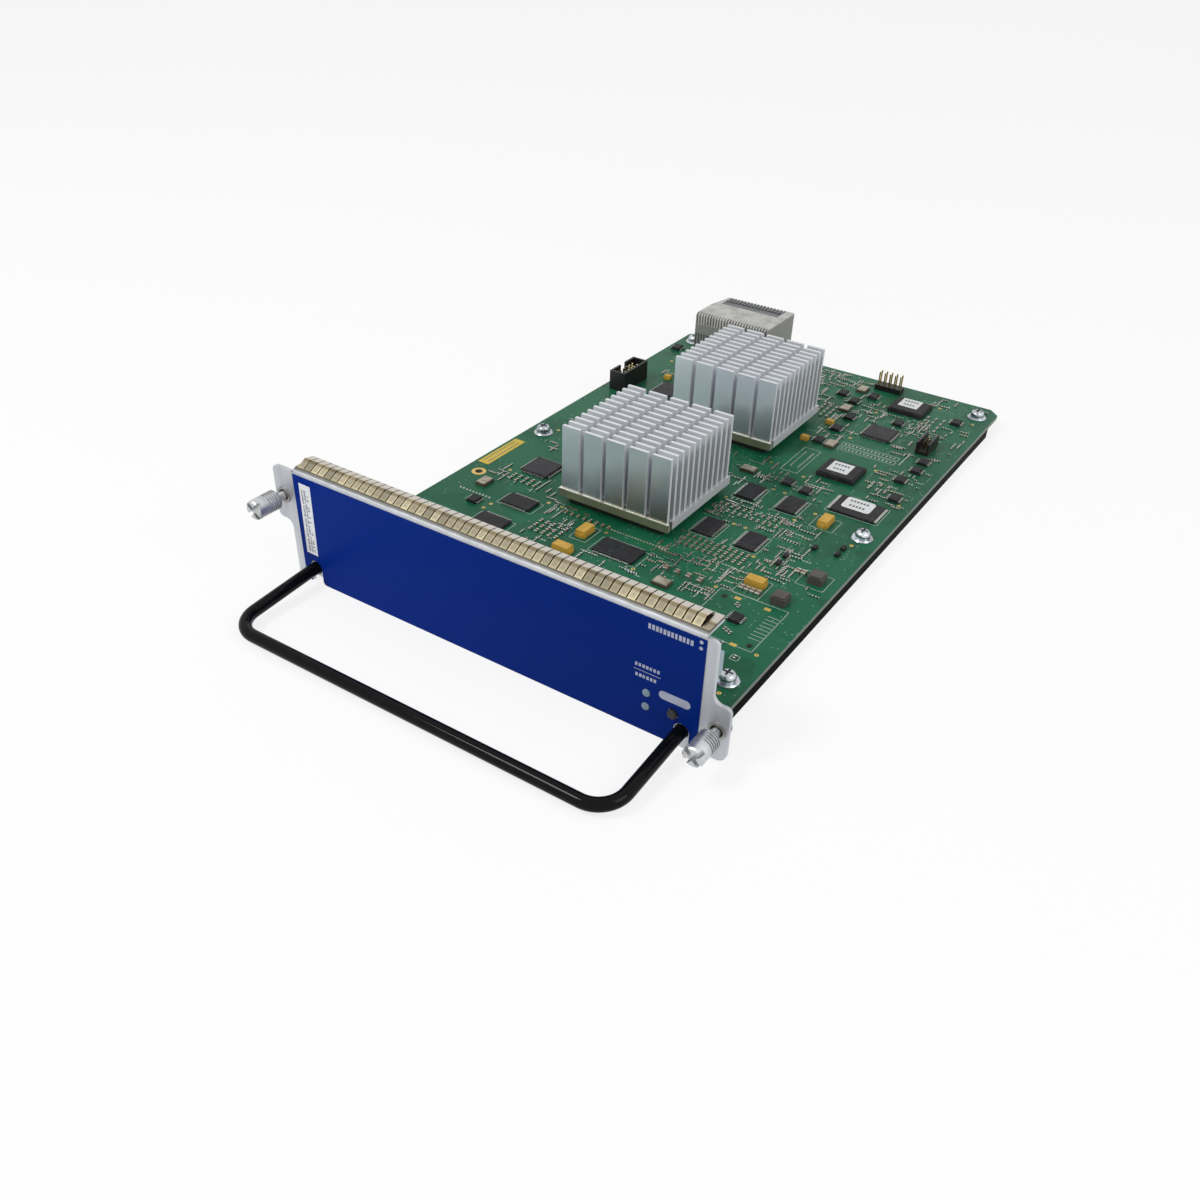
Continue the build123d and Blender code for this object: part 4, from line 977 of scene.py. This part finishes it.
class LINECARD_OT_passives(bpy.types.Operator):
    """Finishes the larger passive parts and adds the small and tiny chip parts with metal ends"""

    bl_idname = "linecard.passives"
    bl_label = "Passive parts"

    def execute(self, context):
        sizes = context.scene.line_card_sizes
        paint_nodes(moulding("ferrite", (0.075, 0.068, 0.062), 0.4, 0.55), "power_inductors")
        paint_nodes(moulding("tantalum", (0.56, 0.33, 0.05), 0.38, 0.5, 2400.0), "tantalum_capacitors")
        paint_nodes(oscillator_finish(), "oscillators")
        paint_nodes(moulding("capacitor_brown", (0.20, 0.13, 0.085), 0.3, 0.45), "chip_capacitors")
        tin = sheet_metal("end_tin", (0.60, 0.62, 0.57), 0.22, 0.38)
        tan = moulding("capacitor_tan", (0.15, 0.095, 0.05), 0.35, 0.5)
        black = moulding("resistor_black", (0.02, 0.02, 0.022), 0.3, 0.45)
        ink = moulding("dash_ink", (0.30, 0.37, 0.32), 0.45, 0.6)
        rows = [np.column_stack([x + np.arange(n) * step, np.full(n, y)]) for x, y, n, step in CAPACITOR_ROWS]
        plan = np.concatenate(rows)
        ends = np.concatenate([plan + (0.0, 1.0), plan - (0.0, 1.0)])
        put_boxes("capacitor_ends", board_points(ends), (1.76, 0.48, 1.34), tin)
        plan = grid_places(SMALL_GRIDS)
        points, faces, marks = ended_parts(plan, np.zeros(len(plan)), *SMALL_CAPACITOR)
        small = put_mesh("small_capacitors", points, faces, [tan, tin], marks)
        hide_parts("small_passives")
        points, faces, marks = ended_parts(PLACED, np.zeros(len(PLACED)), *PLACED_RESISTOR)
        put_mesh("placed_resistors", points, faces, [black, tin], marks)
        plan, turns, kinds = crowd_places(sizes.seed + 4)
        for name, chosen, wide, paint in (
            ("legend_dashes", kinds < 0.25, 0.2, ink), ("solder_spots", kinds > 0.82, 0.42, tin),
        ):
            put_boxes(name, board_points(plan[chosen]), (wide, 0.8, 0.015), paint, turns[chosen])
        plan, turns, kinds = crowd_places(sizes.seed)
        tiny = sizes.tiny_width, sizes.tiny_length, TINY_HEIGHT, TINY_END
        for name, chosen, body in (
            ("tiny_capacitors", kinds < 0.55, tan), ("tiny_resistors", kinds >= 0.55, black),
        ):
            points, faces, marks = ended_parts(plan[chosen], turns[chosen], *tiny)
            put_mesh(name, points, faces, [body, tin], marks)
        return {"FINISHED"}


def aim(place, at):
    """A matrix at a place whose -Z looks at a point."""
    place, at = Vector(place), Vector(at)
    return Matrix.Translation(place) @ (at - place).to_track_quat("-Z", "Y").to_matrix().to_4x4()


class LINECARD_OT_stage(bpy.types.Operator):
    """Sets the floor, the even light, two soft lamps and the camera"""

    bl_idname = "linecard.stage"
    bl_label = "Stage"

    def execute(self, context):
        scene = context.scene
        stage = scene.line_card_stage
        self.lay_floor(scene, stage.whiteness)
        self.set_sky(scene, stage.sky)
        self.hang_lamp(scene, "key_lamp", stage.key, 0.3, (-0.45, -0.7, 0.95))
        self.hang_lamp(scene, "fill_lamp", stage.fill, 0.6, (0.95, -0.1, 0.75))
        self.set_camera(scene, stage)
        scene.view_settings.view_transform = "Standard"
        return {"FINISHED"}

    def lay_floor(self, scene, whiteness):
        """A pale floor that looks white to the camera and in gloss, and keeps the card's shadow."""
        paint = Paint("pale_floor", Roughness=0.9)
        paint.feed("Base Color", paint.ramp(paint.noise(2.0), (0.3, (0.93,) * 3), (0.7, (0.95,) * 3)))
        glow = paint.node("ShaderNodeEmission", feeds={"Color": (1, 1, 1, 1), "Strength": 1.0})
        lit = Value(paint, paint.surface.outputs[0])
        mixed = paint.node("ShaderNodeMixShader", feeds={0: paint.looking() * whiteness, 1: lit, 2: glow})
        paint.tree.links.new(mixed.socket, paint.tree.nodes["Material Output"].inputs["Surface"])
        mesh = bpy.data.meshes.new("floor")
        square = (-1, -1), (1, -1), (1, 1), (-1, 1)
        corners = [(x * FLOOR_REACH, y * FLOOR_REACH, -FLOOR_DROP) for x, y in square]
        mesh.from_pydata(corners, [], [(0, 1, 2, 3)])
        mesh.materials.append(paint.material)
        floor = bpy.data.objects.new("floor", mesh)
        scene.collection.objects.link(floor)

    def set_sky(self, scene, strength):
        """An even sky that looks white to the camera and in gloss."""
        world = bpy.data.worlds.new("soft_sky")
        world.use_nodes = True
        scene.world = world
        sky = Nodes(world.node_tree)
        back = sky.tree.nodes["Background"]
        back.inputs["Color"].default_value = (1, 1, 1, 1)
        mixed = sky.node("ShaderNodeMix", feeds={0: sky.looking(), 2: strength, 3: 1.0})
        sky.tree.links.new(mixed.socket, back.inputs["Strength"])

    def hang_lamp(self, scene, name, power, size, place):
        lamp = bpy.data.lights.new(name, "AREA")
        lamp.energy = power
        lamp.size = size
        holder = bpy.data.objects.new(name, lamp)
        holder.matrix_world = aim(place, (0, 0, 0.02))
        scene.collection.objects.link(holder)

    def set_camera(self, scene, stage):
        camera = bpy.data.cameras.new("camera")
        camera.lens = stage.lens
        camera.sensor_width = 36.0
        camera.shift_x = stage.shift_x
        camera.shift_y = stage.shift_y
        camera.clip_start = 0.01
        holder = bpy.data.objects.new("camera", camera)
        right = Vector(CAMERA_RIGHT).normalized()
        back = right.cross(Vector(CAMERA_UP)).normalized()
        up = back.cross(right).normalized()
        turn = Matrix((right, up, back)).transposed().to_4x4()
        x, y, z = CAMERA_PLACE
        holder.matrix_world = Matrix.Translation((x, PANEL_FACE + y, z)) @ turn
        scene.collection.objects.link(holder)
        scene.camera = holder


class LINECARD_PT_panel(bpy.types.Panel):
    """Lists the steps that dress the card"""

    bl_idname = "LINECARD_PT_panel"
    bl_label = "Line card"
    bl_space_type = "VIEW_3D"
    bl_region_type = "UI"
    bl_category = "Line card"

    def draw(self, context):
        for step in STEPS:
            self.layout.operator(step.bl_idname)
        for group in (getattr(context.scene, name) for name in GROUPS):
            for name in group.__annotations__:
                self.layout.prop(group, name)


STEPS = (
    LINECARD_OT_panel, LINECARD_OT_panel_print, LINECARD_OT_board, LINECARD_OT_heat_sinks,
    LINECARD_OT_connectors, LINECARD_OT_chips, LINECARD_OT_labels, LINECARD_OT_passives, LINECARD_OT_stage,
)
GROUPS = {
    "line_card_colours": LineCardColours, "line_card_sizes": LineCardSizes, "line_card_stage": LineCardStage,
}


def register():
    for made in (*GROUPS.values(), *STEPS, LINECARD_PT_panel):
        bpy.utils.register_class(made)
    for name, group in GROUPS.items():
        setattr(bpy.types.Scene, name, PointerProperty(type=group))


def unregister():
    for name in GROUPS:
        delattr(bpy.types.Scene, name)
    for made in reversed((*GROUPS.values(), *STEPS, LINECARD_PT_panel)):
        bpy.utils.unregister_class(made)


def main():
    """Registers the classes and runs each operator."""
    register()
    for step in STEPS:
        group, name = step.bl_idname.split(".")
        getattr(getattr(bpy.ops, group), name)()


if __name__ == "__main__":
    main()
